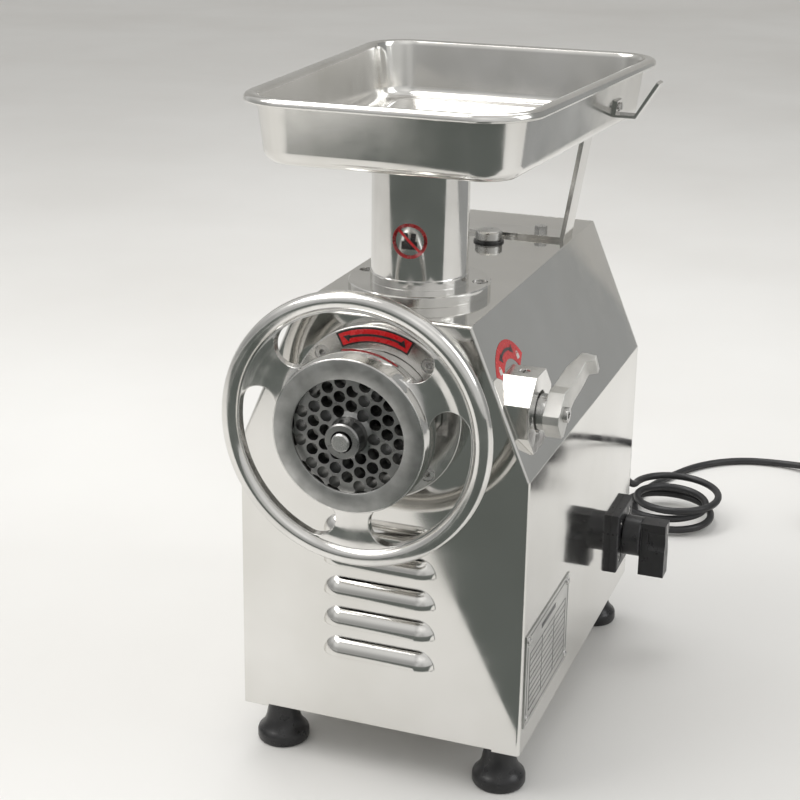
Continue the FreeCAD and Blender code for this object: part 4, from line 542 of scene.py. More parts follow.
def cut(obj: bpy.types.Object, cutters: Sequence[bmesh.types.BMesh]) -> bpy.types.Object:
    """Cut closed shapes out of an object.

    Args:
        obj: object to cut.
        cutters: closed shapes, each freed.

    Returns:
        The object with the cuts in its mesh.
    """
    tools = [plain_object(f"{obj.name}_cutter", cutter) for cutter in cutters]
    for tool in tools:
        modifier = obj.modifiers.new("cut", "BOOLEAN")
        modifier.operation = "DIFFERENCE"
        modifier.object = tool
        modifier.solver = "EXACT"
    settled(obj)
    for tool in tools:
        bpy.data.objects.remove(tool)
    return obj


def finished(obj: bpy.types.Object, finish: Finish, body: Body,
             replaced: Sequence[str] = ()) -> bpy.types.Object:
    """Give a piece its finish and the body it rides on.

    Args:
        obj: piece to finish.
        finish: its surface.
        body: body that it moves with.
        replaced: CAD nodes that it stands for.

    Returns:
        The same piece.
    """
    obj.data.materials.clear()
    obj.data.materials.append(finish.material())
    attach(obj, body.value)
    if replaced:
        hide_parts(*replaced)
    LOG.info("%s on %s, %s", obj.name, body.value, finish.name)
    return obj


def dress(finish: Finish, *names: str) -> None:
    """Put a finish on CAD nodes that keep their own shape.

    Args:
        finish: their surface.
        names: CAD nodes.
    """
    for name in names:
        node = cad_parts[name]
        if not node.material_slots:
            node.data.materials.append(None)
        for place in node.material_slots:
            place.material = finish.material()
        LOG.info("%s dressed in %s", name, finish.name)


def middle(node: str) -> Vector:
    """Middle of a CAD node's box.

    Args:
        node: CAD node's name.

    Returns:
        The box's middle.
    """
    low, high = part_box(node)
    return (low + high) / 2


# ---------------------------------------------------------------- studio
@dataclass
class Studio:
    """Camera, floor, backdrop and soft light."""

    camera_at: Triple = (0.36003, -1.11609, 0.65911)
    heading: float = 0.351661
    tilt: float = 0.302504
    roll: float = 0.013793
    lens: float = 75.18
    shift: Pair = (0.0021, -0.0791)
    floor_reach: float = 9.0
    sweep_y: float = 5.0
    sweep_radius: float = 1.5
    wall_top: float = 8.0

    def camera(self) -> bpy.types.Object:
        """Place the camera.

        Returns:
            The scene's camera.
        """
        yaw, pitch, roll = self.heading, self.tilt, self.roll
        forward = Vector((-math.sin(yaw) * math.cos(pitch),
                          math.cos(yaw) * math.cos(pitch),
                          -math.sin(pitch)))
        right = Vector((math.cos(yaw), math.sin(yaw), 0.0))
        up = right.cross(forward)
        across = right * math.cos(roll) + up * math.sin(roll)
        upward = up * math.cos(roll) - right * math.sin(roll)
        turn = Matrix((across, upward, -forward)).transposed().to_4x4()
        data = bpy.data.cameras.new("camera")
        data.lens = self.lens
        data.shift_x, data.shift_y = self.shift
        camera = bpy.data.objects.new("camera", data)
        camera.matrix_world = Matrix.Translation(self.camera_at) @ turn
        bpy.context.scene.collection.objects.link(camera)
        bpy.context.scene.camera = camera
        return camera

    def floor(self) -> bpy.types.Object:
        """Floor that sweeps up into a wall behind the machine.

        Returns:
            The floor and wall in one piece.
        """
        bm = bmesh.new()
        reach, bend = self.floor_reach, self.sweep_radius
        front = bm.verts.new((-reach, -reach, 0))
        corner = bm.verts.new((-reach, self.sweep_y + bend, 0))
        top = bm.verts.new((-reach, self.sweep_y + bend, self.wall_top))
        bm.edges.new((front, corner))
        bm.edges.new((corner, top))
        bmesh.ops.bevel(bm, geom=[corner], offset=bend, offset_type="OFFSET", segments=16, profile=0.5,
                        affect="VERTICES", material=-1)
        grown = bmesh.ops.extrude_edge_only(bm, edges=bm.edges[:])
        moved = [item for item in grown["geom"] if isinstance(item, bmesh.types.BMVert)]
        bmesh.ops.translate(bm, verts=moved, vec=(2 * reach, 0, 0))
        bmesh.ops.recalc_face_normals(bm, faces=bm.faces)
        for face in bm.faces:
            if face.normal.z < -0.1 or face.normal.y > 0.1:
                face.normal_flip()
        floor = plain_object("studio_floor", bm)
        floor.data.materials.append(FLOOR.material())
        return floor

    def card(self, name: str, corners: Sequence[Triple], colour: Colour) -> bpy.types.Object:
        """Card that only reflections see.

        Args:
            name: card's name.
            corners: its outline.
            colour: what it shows in a reflection.

        Returns:
            The card.
        """
        bm = bmesh.new()
        bm.faces.new([bm.verts.new(corner) for corner in corners])
        card = plain_object(name, bm)
        material = bpy.data.materials.new(name)
        material.use_nodes = True
        shader = material.node_tree.nodes["Principled BSDF"]
        shader.inputs["Base Color"].default_value = (0.0, 0.0, 0.0, 1.0)
        shader.inputs["Roughness"].default_value = 1.0
        # Painted reflection: the card glows in this colour only so that glossy surfaces reflect it; it is no
        # lamp.
        shader.inputs["Emission Color"].default_value = (*colour, 1.0)
        shader.inputs["Emission Strength"].default_value = 1.0
        card.data.materials.append(material)
        card.visible_camera = False
        card.visible_diffuse = False
        card.visible_shadow = False
        return card

    def light(self, name: str, at: Triple, aim: Triple, size: Pair, power: float, tint: Colour) -> None:
        """Soft box.

        Args:
            name: light's name.
            at: its place.
            aim: point it faces.
            size: its width and height.
            power: watts.
            tint: colour.
        """
        data = bpy.data.lights.new(name, "AREA")
        data.shape = "RECTANGLE"
        data.size, data.size_y = size
        data.energy = power
        data.color = tint
        box = bpy.data.objects.new(name, data)
        box.location = at
        box.rotation_euler = (Vector(aim) - Vector(at)).to_track_quat("-Z", "Y").to_euler()
        bpy.context.scene.collection.objects.link(box)

    def world(self) -> None:
        """Room light: pale above, greyer and patchy round the sides."""
        world = bpy.data.worlds.new("room")
        bpy.context.scene.world = world
        world.use_nodes = True
        nodes, links = world.node_tree.nodes, world.node_tree.links
        place = nodes.new("ShaderNodeTexCoord").outputs["Generated"]
        height = nodes.new("ShaderNodeSeparateXYZ")
        links.new(place, height.inputs["Vector"])
        shades = nodes.new("ShaderNodeValToRGB")
        ramp = shades.color_ramp
        ramp.elements[0].position = 0.0
        ramp.elements[0].color = (0.50, 0.50, 0.49, 1.0)
        ramp.elements[1].position = 1.0
        ramp.elements[1].color = (1.0, 0.99, 0.97, 1.0)
        step = ramp.elements.new(0.30)
        step.color = (0.58, 0.58, 0.57, 1.0)
        step = ramp.elements.new(0.62)
        step.color = (0.86, 0.855, 0.84, 1.0)
        links.new(height.outputs["Z"], shades.inputs["Fac"])
        patches = nodes.new("ShaderNodeTexNoise")
        patches.inputs["Scale"].default_value = 1.6
        patches.inputs["Detail"].default_value = 2.0
        links.new(place, patches.inputs["Vector"])
        strength = nodes.new("ShaderNodeMapRange")
        strength.inputs["From Min"].default_value = 0.35
        strength.inputs["From Max"].default_value = 0.65
        strength.inputs["To Min"].default_value = 0.68
        strength.inputs["To Max"].default_value = 1.20
        links.new(patches.outputs["Fac"], strength.inputs["Value"])
        back = nodes["Background"]
        links.new(shades.outputs["Color"], back.inputs["Color"])
        links.new(strength.outputs["Result"], back.inputs["Strength"])

    def build(self) -> None:
        """Build the whole studio."""
        self.floor()
        # Painted reflection and shade: a dark glowing card just above the floor, unseen by the camera,
        # paints a dark reflection into the front panels and darkens the floor's gloss beneath it.
        self.card("painted_reflection_dark_card", ((0.075, -0.20, 0.002), (-0.085, -0.473, 0.002), (-0.30, -0.85, 0.002),
                                     (-3.0, -1.3, 0.002), (-3.0, -8.9, 0.002), (8.9, -8.9, 0.002),
                                     (8.9, -0.9, 0.002), (0.6, -0.35, 0.002)), (0.10, 0.112, 0.102))
        # Painted reflection: a grey glowing card, unseen by the camera, paints the grey reflection in the
        # cabinet's +X side panel.
        self.card("painted_reflection_side_card", ((0.34, 0.92, 0.02), (2.2, 0.62, 0.02), (2.2, 0.62, 1.5),
                                     (0.34, 0.92, 1.5)), (0.33, 0.335, 0.33))
        self.light("key_light", (-1.0, -0.7, 1.9), (0.0, 0.0, 0.2), (1.3, 1.3), 21.0, (1.0, 0.985, 0.96))
        self.light("side_light", (1.7, 0.2, 1.5), (0.0, 0.1, 0.2), (0.9, 1.2), 9.0, (0.97, 0.985, 1.0))
        self.light("back_light", (-0.3, 0.9, 1.9), (0.0, 0.6, 0.2), (1.6, 0.6), 13.0, (1.0, 1.0, 1.0))
        self.world()
        bpy.context.scene.view_settings.view_transform = "Standard"


# ---------------------------------------------------------------- cord
@dataclass
class PowerCord:
    """Mains lead: out of the gland, through its loose turns, round to the put-away coil and plug."""

    diameter: float = 0.007
    length: float = 1.80
    exit_y: float = 0.2025
    start_inside: float = 0.017
    lead: tuple = ((0.0463, 0.2325, 0.109), (0.0463, 0.2665, 0.109), (0.0463, 0.3065, 0.099),
                   (0.0468, 0.3435, 0.076), (0.0488, 0.3745, 0.049))
    bundle_at: Pair = (0.0903, 0.4065)
    bundle_turns: float = 3.0
    bundle_start: float = 3.2
    bundle_top: float = 0.0300
    bundle_radius: float = 0.0385
    bundle_spread: float = 0.0050
    bundle_wobble: float = 0.0012
    bundle_drift: Pair = (0.0030, 0.0045)
    run: tuple = ((0.0483, 0.4265, 0.0036), (0.0523, 0.4625, 0.0036), (0.0683, 0.5065, 0.0036),
                  (0.0923, 0.5525, 0.0036), (0.1303, 0.5825, 0.0036), (0.1743, 0.5885, 0.0040),
                  (0.2123, 0.5765, 0.0085), (0.2360, 0.5525, 0.0155))
    coil_at: Pair = (0.2783, 0.5255)
    coil_turns: int = 2
    coil_radius: float = 0.0332
    coil_step: float = 0.0040
    coil_lift: float = 0.0064
    points_per_turn: int = 14
    rest_z: float = 0.0036
    relief_length: float = 0.030
    relief_radius: float = 0.0066
    relief_taper: float = 0.0020
    relief_groove: float = 0.0008
    relief_tip: float = 0.0043
    relief_ribs: int = 6
    tie_angles: Pair = (0.6, 3.9)
    tie_inner: float = 0.0112
    tie_outer: float = 0.0120
    tie_half_width: float = 0.003
    tie_z: float = 0.0121

    def bundle(self) -> list[Vector]:
        """Loose turns, clockwise from above, each of its own size.

        Returns:
            Their control points, from the highest to the table.
        """
        total = self.bundle_turns * math.tau
        count = round(self.bundle_turns * self.points_per_turn)
        points = []
        for number in range(count):
            turned_by = total * number / count
            angle = self.bundle_start - turned_by
            radius = (self.bundle_radius + self.bundle_spread * math.sin(0.54 * turned_by)
                      + self.bundle_wobble * math.sin(1.5 * turned_by))
            drift = Vector((self.bundle_drift[0] * math.sin(0.37 * turned_by),
                            self.bundle_drift[1] * math.sin(0.33 * turned_by), 0))
            height = self.bundle_top + (self.rest_z - self.bundle_top) * number / count
            points.append(Vector((self.bundle_at[0] + radius * math.cos(angle),
                                  self.bundle_at[1] + radius * math.sin(angle), height)) + drift)
        return points

    def coil(self) -> list[Vector]:
        """Put-away turns, counter-clockwise from above, each round and under the last.

        Returns:
            Their control points, from the inside and the top outwards.
        """
        count = self.coil_turns * self.points_per_turn
        points = []
        for number in range(count + 1):
            turns = number / self.points_per_turn
            angle = math.pi + turns * math.tau
            radius = self.coil_radius + self.coil_step * turns
            points.append(Vector((self.coil_at[0] + radius * math.cos(angle),
                                  self.coil_at[1] + radius * math.sin(angle),
                                  self.rest_z + self.coil_lift * (self.coil_turns - turns))))
        return points

    def route(self) -> list[Vector]:
        """All control points from the gland to the plug.

        Returns:
            The points in order.
        """
        start = Vector(self.lead[0]) - Vector((0, self.start_inside, 0))
        low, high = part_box("mains_plug")
        plug_x, sleeve_y = (low.x + high.x) / 2, high.y
        last = self.coil()[-1]
        out = [Vector((last.x + 0.0007, last.y - 0.0135, 0.0036)),
               Vector((last.x + 0.0066, last.y - 0.0265, 0.0050)),
               Vector((plug_x - 0.0008, sleeve_y + 0.0017, 0.0075)),
               Vector((plug_x, sleeve_y - 0.0113, 0.0090))]
        return [start, *map(Vector, self.lead), *self.bundle(), *map(Vector, self.run), *self.coil(), *out]

    def lay_cord(self) -> bpy.types.Object:
        """The cord itself, one smooth spline.

        Returns:
            The cord.
        """
        curve = bpy.data.curves.new("power_cord", "CURVE")
        curve.dimensions = "3D"
        curve.resolution_u = 8
        curve.bevel_depth = self.diameter / 2
        curve.bevel_resolution = 5
        curve.use_fill_caps = True
        spline = curve.splines.new("NURBS")
        route = self.route()
        spline.points.add(len(route) - 1)
        for point, place in zip(spline.points, route):
            point.co = (*place, 1.0)
        spline.order_u = 3
        spline.use_endpoint_u = True
        obj = bpy.data.objects.new("power_cord", curve)
        bpy.context.scene.collection.objects.link(obj)
        return finished(obj, SHEATH, Body.MACHINE, ("cord_tube", "cord_bundle", "cord_coil"))

    def relief(self) -> bpy.types.Object:
        """Tapered and ribbed strain relief at the gland.

        Returns:
            The relief.
        """
        x, _, z = self.lead[0]
        profile = [(0.0, 0.0), (self.relief_radius, 0.0)]
        ribs = self.relief_ribs
        for number in range(ribs):
            along = self.relief_length * (number + 0.3) / ribs
            radius = self.relief_radius - self.relief_taper * number / ribs
            step = self.relief_length / ribs
            profile += [(radius, along), (radius, along + 0.35 * step),
                        (radius - self.relief_groove, along + 0.5 * step)]
        profile += [(self.relief_tip, self.relief_length), (0.0, self.relief_length)]
        bm = turned(profile, Vector((x, self.exit_y, z)), Axis.Y, 32, False)
        return finished(plain_object("cord_relief", bm), RUBBER, Body.MACHINE, ("strain_relief",))

    def tie(self, number: int, angle: float) -> bpy.types.Object:
        """Band that holds the coil's turns together.

        Args:
            number: which band.
            angle: where it sits round the coil.

        Returns:
            The band.
        """
        radius = self.coil_radius + self.coil_step * self.coil_turns / 2
        inner, outer, half = self.tie_inner, self.tie_outer, self.tie_half_width
        profile = [(inner, -half), (outer, -half), (outer, half), (inner, half)]
        bm = turned(profile, Vector((radius, 0, self.tie_z)), Axis.Y, 28, True)
        place = Matrix.Translation((*self.coil_at, 0)) @ Matrix.Rotation(angle, 4, "Z")
        bmesh.ops.transform(bm, matrix=place, verts=bm.verts)
        return finished(plain_object(f"coil_tie_{number}", bm), BLACK, Body.MACHINE)

    def build(self) -> None:
        cord = self.lay_cord()
        with_pieces = [self.relief(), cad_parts["mains_plug"]]
        with_pieces += [self.tie(number, angle) for number, angle in enumerate(self.tie_angles)]
        dress(BLACK, "mains_plug")


# ---------------------------------------------------------------- housing
@dataclass
class Housing:
    """Polished cabinet with its plate, panel, feet, bracket and labels."""

    foot_rim: float = 0.0192
    foot_height: float = 0.0370
    foot_neck: float = 0.0100

    def dress_sheet(self) -> None:
        """Finishes of the cabinet's own metal."""
        dress(POLISHED, "housing_shell", "rear_panel", "base_plate")
        dress(FASTENER, "rear_panel_screws", "foot_bolts", "nameplate_rivets", "bracket_bolt", "cable_gland")
        dress(TUBE_STEEL, "tray_bracket")
        dress(LABEL, "nameplate")

    def feet(self, names: Iterable[str]) -> None:
        """Turned rubber feet: wide lip, waisted cone and neck.

        Args:
            names: CAD nodes of the feet.
        """
        rim, top, neck = self.foot_rim, self.foot_height, self.foot_neck
        profile = ((0.0, 0.0006), (rim - 0.0040, 0.0), (rim - 0.0008, 0.0006),
                   (rim, 0.0022), (rim, 0.0068), (rim - 0.0007, 0.0088),
                   (rim - 0.0024, 0.0103), (rim - 0.0048, 0.0135), (rim - 0.0065, 0.0180),
                   (rim - 0.0076, 0.0240), (neck + 0.0010, 0.0300), (neck + 0.0009, 0.0330),
                   (neck + 0.0024, 0.0338), (neck + 0.0024, top - 0.0003), (neck, top), (0.0, top))
        for name in names:
            low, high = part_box(name)
            centre = Vector(((low.x + high.x) / 2, (low.y + high.y) / 2, 0.0))
            bm = turned(profile, centre, Axis.Z, 64, False)
            finished(plain_object(f"{name}_rubber", bm), RUBBER, Body.MACHINE, (name,))

    def build(self) -> None:
        """Dress the sheet and build the feet."""
        self.dress_sheet()
        self.feet(sorted(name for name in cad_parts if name.startswith("foot") and "bolt" not in name))


@dataclass
class Nameplate:
    """Plain rating plate's printed frame and empty table lines."""

    proud: float = 0.00015
    line: float = 0.0005
    margin: float = 0.0035
    columns: int = 3
    rows: int = 9
    rivet_room: float = 0.006
    head_share: float = 0.22
    title_half: float = 0.018

    def build(self) -> None:
        """Thin printed lines on the plate."""
        low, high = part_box("nameplate")
        x0, x1 = high.x - self.proud / 2, high.x + self.proud
        y0, y1 = low.y + self.margin, high.y - self.margin
        z0, z1 = low.z + self.margin, high.z - self.margin
        head = (z1 - z0) * self.head_share
        rivet_room = self.rivet_room
        bars = []
        for z in (z0, z1):
            bars.append((Vector((x0, y0 + rivet_room, z)), Vector((x1, y1 - rivet_room, z + self.line))))
        for y in (y0, y1):
            bars.append((Vector((x0, y, z0 + rivet_room)), Vector((x1, y + self.line, z1 - rivet_room))))
        body0, body1 = z0 + rivet_room, z1 - head
        for row in range(self.rows + 1):
            z = body0 + (body1 - body0) * row / self.rows
            bars.append((Vector((x0, y0 + rivet_room, z)), Vector((x1, y1 - rivet_room, z + self.line))))
        for column in range(self.columns + 1):
            y = y0 + rivet_room + (y1 - y0 - 2 * rivet_room) * column / self.columns
            bars.append((Vector((x0, y, body0)), Vector((x1, y + self.line, body1))))
        middle_y = (y0 + y1) / 2
        bars.append((Vector((x0, middle_y - self.title_half, z1 - head * 0.55)),
                     Vector((x1, middle_y + self.title_half, z1 - head * 0.30))))
        bm = joined([block(lowest, highest, self.proud / 4) for lowest, highest in bars])
        finished(plain_object("nameplate_lines", bm), LABEL_INK, Body.MACHINE)


# ---------------------------------------------------------------- grinding head
@dataclass
class Handwheel:
    """Ring nut and spoked handwheel in one casting."""

    lip_radius: float = 0.0383
    lip_depth: float = 0.0050
    thread_radius: float = 0.0463
    nut_radius: float = 0.0525
    nut_length: float = 0.0240
    rim_width: float = 0.0128
    rim_front: float = 0.0060
    rim_depth: float = 0.0130
    web_front: float = 0.0088
    web_back: float = 0.0162
    dish: float = 0.0014
    spoke: float = 0.0240
    spokes: int = 3
    steps: int = 144
    window_rib: float = 0.0006
    edge: float = 0.0012
    rim_points: int = 17
    rim_half_sweep: float = 156.0
    web_points: int = 6

    def profile(self, wheel_radius: float) -> list[Pair]:
        """Section of the casting from the lip outwards and back.

        Args:
            wheel_radius: outer radius of the rim.

        Returns:
            (radius, distance behind the nut's front face) pairs.
        """
        nut, bore, edge = self.nut_radius, self.thread_radius, self.edge
        half_w, half_d = self.rim_width / 2, self.rim_depth / 2
        rim_r, rim_y = wheel_radius - half_w, self.rim_front + half_d
        inner = wheel_radius - self.rim_width
        front = [(self.lip_radius, edge), (self.lip_radius + 0.3 * edge, 0.3 * edge),
                 (self.lip_radius + edge, 0.0), (nut - edge, 0.0),
                 (nut - 0.3 * edge, 0.3 * edge), (nut, edge),
                 (nut, self.web_front - 0.0030), (nut + 0.0008, self.web_front - 0.0010),
                 (nut + 0.0030, self.web_front)]
        span = inner - nut
        for number in range(1, self.web_points):
            share = number / self.web_points
            front.append((nut + 0.0030 + (span - 0.0060) * share,
                          self.web_front + self.dish * math.sin(math.pi * share)))
        front.append((inner - 0.0026, self.web_front + 0.0001))
        rim = []
        for number in range(self.rim_points):
            angle = math.radians(self.rim_half_sweep * (1 - 2 * number / (self.rim_points - 1)))
            rim.append((rim_r + half_w * math.cos(angle), rim_y - half_d * math.sin(angle)))
        back = [(inner - 0.0020, self.web_back)]
        for number in range(1, self.web_points):
            share = number / self.web_points
            back.append((inner - 0.0020 - (span - 0.0050) * share,
                         self.web_back - self.dish * math.sin(math.pi * share)))
        back += [(nut + 0.0030, self.web_back), (nut + 0.0008, self.web_back + 0.0010),
                 (nut, self.web_back + 0.0030), (nut, self.nut_length - edge), (nut - edge, self.nut_length),
                 (bore + edge, self.nut_length), (bore, self.nut_length - edge), (bore, self.lip_depth),
                 (self.lip_radius, self.lip_depth)]
        return front + rim + back

    def sectors(self, centre: Vector, middle_radius: float, half: float, end: float) -> bmesh.types.BMesh:
        """Curved middles of the windows.

        Args:
            centre: wheel's centre on its front plane.
            middle_radius: radius of the windows' middle line.
            half: half of each window's turn, in radians.
            end: radius of the windows' ends.

        Returns:
            Closed cutters.
        """
        parts = []
        for number in range(self.spokes):
            bm = bmesh.new()
            start = math.radians(90 + 360 * number / self.spokes) - half
            corners = []
            for radius, along in ((-end, 0.0), (end, 0.0), (end, self.nut_length), (-end, self.nut_length)):
                corners.append(bm.verts.new((middle_radius + radius, along, 0.0)))
            face = bm.faces.new(corners)
            bmesh.ops.rotate(bm, cent=(0, 0, 0), matrix=Matrix.Rotation(-start, 3, "Y"), verts=bm.verts)
            bmesh.ops.spin(bm, geom=[face, *face.edges, *face.verts], cent=(0, 0, 0), axis=(0, -1, 0),
                           angle=2 * half, steps=20, use_merge=False, use_duplicate=False)
            bmesh.ops.translate(bm, verts=bm.verts, vec=centre)
            bmesh.ops.recalc_face_normals(bm, faces=bm.faces)
            parts.append(bm)
        return joined(parts)

    def ends(self, centre: Vector, middle_radius: float, half: float, end: float) -> bmesh.types.BMesh:
        """Round ends of the windows.

        Args:
            centre: wheel's centre on its front plane.
            middle_radius: radius of the windows' middle line.
            half: half of each window's turn, in radians.
            end: radius of the ends.

        Returns:
            Closed cutters.
        """
        bm = bmesh.new()
        upright = Matrix.Rotation(math.pi / 2, 4, "X")
        for number in range(self.spokes):
            for side in (-1, 1):
                angle = math.radians(90 + 360 * number / self.spokes) + side * half
                at = centre + Vector((middle_radius * math.cos(angle), self.nut_length / 2,
                                      middle_radius * math.sin(angle)))
                bmesh.ops.create_cone(bm, cap_ends=True, segments=40, radius1=end, radius2=end,
                                      depth=self.nut_length, matrix=Matrix.Translation(at) @ upright)
        bmesh.ops.recalc_face_normals(bm, faces=bm.faces)
        return bm

    def build(self) -> None:
        """Turn the casting, cut its windows and finish it."""
        low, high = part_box("ring_nut_handwheel")
        centre = Vector(((low.x + high.x) / 2, low.y, (low.z + high.z) / 2))
        wheel_radius = (high.x - low.x) / 2
        ring = turned(self.profile(wheel_radius), centre, Axis.Y, self.steps, True)
        wheel = plain_object("handwheel", ring)
        inner = wheel_radius - self.rim_width
        middle_radius = (inner + self.nut_radius) / 2
        end = (inner - self.nut_radius) / 2 - self.window_rib
        half = math.pi / self.spokes - self.spoke / 2 / middle_radius - math.asin(end / middle_radius)
        cut(wheel, (self.sectors(centre, middle_radius, half, end),
                    self.ends(centre, middle_radius, half, end)))
        finished(wheel, WHEEL_CAST, Body.RING_NUT, ("ring_nut_handwheel",))
        wheel.data.materials.append(NUT_FACE.material())
        for polygon in wheel.data.polygons:
            out = math.hypot(polygon.center.x - centre.x, polygon.center.z - centre.z)
            if polygon.center.y < centre.y + 0.0010 and out < self.nut_radius - 0.0010:
                polygon.material_index = 1


@dataclass
class Sticker:
    """Flat foil shapes made of arcs and bars on a plane."""

    thickness: float = 0.00015

    def arc(self, radius: float, width: float, start: float, end: float, lift: float) -> bmesh.types.BMesh:
        """Band of an arc in the XY plane.

        Args:
            radius: middle radius.
            width: band's width.
            start: first angle in degrees.
            end: last angle in degrees.
            lift: height of its lower face.

        Returns:
            Closed thin band.
        """
        bm = bmesh.new()
        low, high = lift, lift + self.thickness
        corners = [bm.verts.new((radius + side * width / 2, 0, z))
                   for side, z in ((-1, low), (1, low), (1, high), (-1, high))]
        face = bm.faces.new(corners)
        turn = Matrix.Rotation(math.radians(start), 3, "Z")
        bmesh.ops.rotate(bm, cent=(0, 0, 0), matrix=turn, verts=bm.verts)
        whole = abs(end - start) >= 360
        bmesh.ops.spin(bm, geom=[face, *face.edges, *face.verts], cent=(0, 0, 0), axis=(0, 0, 1),
                       angle=math.radians(end - start), steps=max(6, round(abs(end - start) / 5)),
                       use_merge=whole, use_duplicate=False)
        bmesh.ops.recalc_face_normals(bm, faces=bm.faces)
        return bm

    def dot(self, at: Pair, radius: float, lift: float, sides: int = 24) -> bmesh.types.BMesh:
        """Thin disc or arrow head in the XY plane.

        Args:
            at: its middle.
            radius: its radius.
            lift: height of its lower face.
            sides: number of sides.

        Returns:
            Closed thin disc.
        """
        bm = bmesh.new()
        bmesh.ops.create_cone(bm, cap_ends=True, segments=sides, radius1=radius, radius2=radius,
                              depth=self.thickness,
                              matrix=Matrix.Translation((*at, lift + self.thickness / 2)))
        return bm

    def bar(self, at: Pair, size: Pair, turn: float, lift: float) -> bmesh.types.BMesh:
        """Thin bar in the XY plane.

        Args:
            at: its middle.
            size: its length and width.
            turn: angle in degrees.
            lift: height of its lower face.

        Returns:
            Closed thin bar.
        """
        bm = bmesh.new()
        place = Matrix.Translation((*at, lift + self.thickness / 2))
        place = place @ Matrix.Rotation(math.radians(turn), 4, "Z")
        bmesh.ops.create_cube(bm, size=1.0, matrix=place @ Matrix.Diagonal((*size, self.thickness, 1.0)))
        return bm

    def arrow_head(self, radius: float, angle: float, turn: float, size: float,
                   lift: float) -> bmesh.types.BMesh:
        """Three-sided arrow head on an arc.

        Args:
            radius: arc's radius.
            angle: place on the arc in degrees.
            turn: way it points in degrees.
            size: its radius.
            lift: height of its lower face.

        Returns:
            Closed thin triangle.
        """
        bm = self.dot((0.0, 0.0), size, lift, 3)
        spot = Matrix.Rotation(math.radians(angle), 4, "Z") @ Matrix.Translation((radius, 0, 0))
        bmesh.ops.transform(bm, matrix=spot @ Matrix.Rotation(math.radians(turn), 4, "Z"), verts=bm.verts)
        return bm

    def stick(self, name: str, parts: Iterable[bmesh.types.BMesh], place: Matrix, finish: Finish,
              body: Body = Body.MACHINE) -> bpy.types.Object:
        """Move flat shapes onto a surface as one piece.

        Args:
            name: piece's name.
            parts: shapes in the XY plane, facing +Z.
            place: move from the plane to the surface.
            finish: foil's colour.
            body: body that it rides on.

        Returns:
            The piece.
        """
        bm = joined(parts)
        bmesh.ops.transform(bm, matrix=place, verts=bm.verts)
        bmesh.ops.recalc_face_normals(bm, faces=bm.faces)
        return finished(plain_object(name, bm), finish, body)


@dataclass
class GrindingHead:
    """Barrel, flange, plate, knife and feed tube."""

    band_radius: float = 0.0540
    band_width: float = 0.0105
    base_lift: float = -0.00002
    band_lift: float = 0.00013
    arrow_lift: float = 0.00028
    ring_radius: float = 0.0110
    ring_width: float = 0.0022
    tube_radius: float = 0.0339
    tube_mark_z: float = 0.0560
    tube_mark_turn: float = 7.0

    def dress_parts(self) -> None:
        """Finishes of the head's own metal."""
        dress(FLANGE_CAST, "front_flange")
        dress(WHEEL_CAST, "grinder_barrel")
        dress(TUBE_STEEL, "feed_tube")
        dress(FASTENER, "front_flange_screws", "feed_tube_bolts", "thrust_washer")
        dress(PLATE_STEEL, "grinder_plate")
        dress(MACHINED, "auger", "output_shaft")
        dress(TOOL, "knife", "plate_key")

    def turning_mark(self) -> None:
        """Red band with a two-ended arrow on the flange's face, above the ring nut."""
        low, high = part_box("front_flange")
        wheel = middle("ring_nut_handwheel")
        sticker = Sticker()
        place = Matrix.Translation((wheel.x, low.y, wheel.z)) @ Matrix.Rotation(math.pi / 2, 4, "X")
        radius, width = self.band_radius, self.band_width
        base = [sticker.arc(radius, width, 62, 118, self.base_lift)]
        sticker.stick("turning_mark_base", base, place, DARK_FOIL)
        band = [sticker.arc(radius, width * 0.78, 63.5, 116.5, self.band_lift)]
        sticker.stick("turning_mark_band", band, place, RED_FOIL)
        arrow = [sticker.arc(radius, width * 0.15, 70, 110, self.arrow_lift),
                 sticker.arrow_head(radius, 69, 30, width * 0.30, self.arrow_lift),
                 sticker.arrow_head(radius, 111, 90, width * 0.30, self.arrow_lift)]
        sticker.stick("turning_mark_arrow", arrow, place, DARK_FOIL)

    def tube_mark(self) -> None:
        """Round red ring with a bar across, wrapped round the tube's front."""
        low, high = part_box("feed_tube")
        centre = Vector(((low.x + high.x) / 2, (low.y + high.y) / 2, 0))
        sticker = Sticker()
        ring = [sticker.arc(self.ring_radius, self.ring_width, 0, 360, 0.0003),
                sticker.bar((0.0, 0.0), (2 * self.ring_radius, self.ring_width * 0.8), -45, 0.0003)]
        figure = [sticker.bar((0.0, -0.0030), (0.0110, 0.0055), 0, 0.00005),
                  sticker.bar((-0.0022, 0.0022), (0.0030, 0.0070), 8, 0.00005),
                  sticker.bar((0.0026, 0.0024), (0.0034, 0.0060), -6, 0.00005)]
        names = (("tube_mark_ring", ring, RED_FOIL), ("tube_mark_figure", figure, DARK_FOIL))
        for name, parts, finish in names:
            bm = joined(parts)
            self.wrap(bm, centre, self.tube_radius, low.z + self.tube_mark_z)
            finished(plain_object(name, bm), finish, Body.MACHINE)

    def wrap(self, bm: bmesh.types.BMesh, centre: Vector, radius: float, height: float) -> None:
        """Bend a flat mark round the tube.

        Args:
            bm: flat mark in the XY plane.
            centre: tube's axis.
            radius: tube's outer radius.
            height: height of the mark's middle.
        """
        bmesh.ops.subdivide_edges(bm, edges=[e for e in bm.edges if e.calc_length() > 0.002], cuts=4,
                                  use_grid_fill=True)
        for vert in bm.verts:
            angle = -math.pi / 2 + math.radians(self.tube_mark_turn) + vert.co.x / radius
            out = radius + vert.co.z
            vert.co = Vector((centre.x + out * math.cos(angle), centre.y + out * math.sin(angle),
                              height + vert.co.y))
        bmesh.ops.recalc_face_normals(bm, faces=bm.faces)

    def build(self) -> None:
        """Dress the head and add its marks."""
        self.dress_parts()
        Handwheel().build()
        self.turning_mark()
        self.tube_mark()


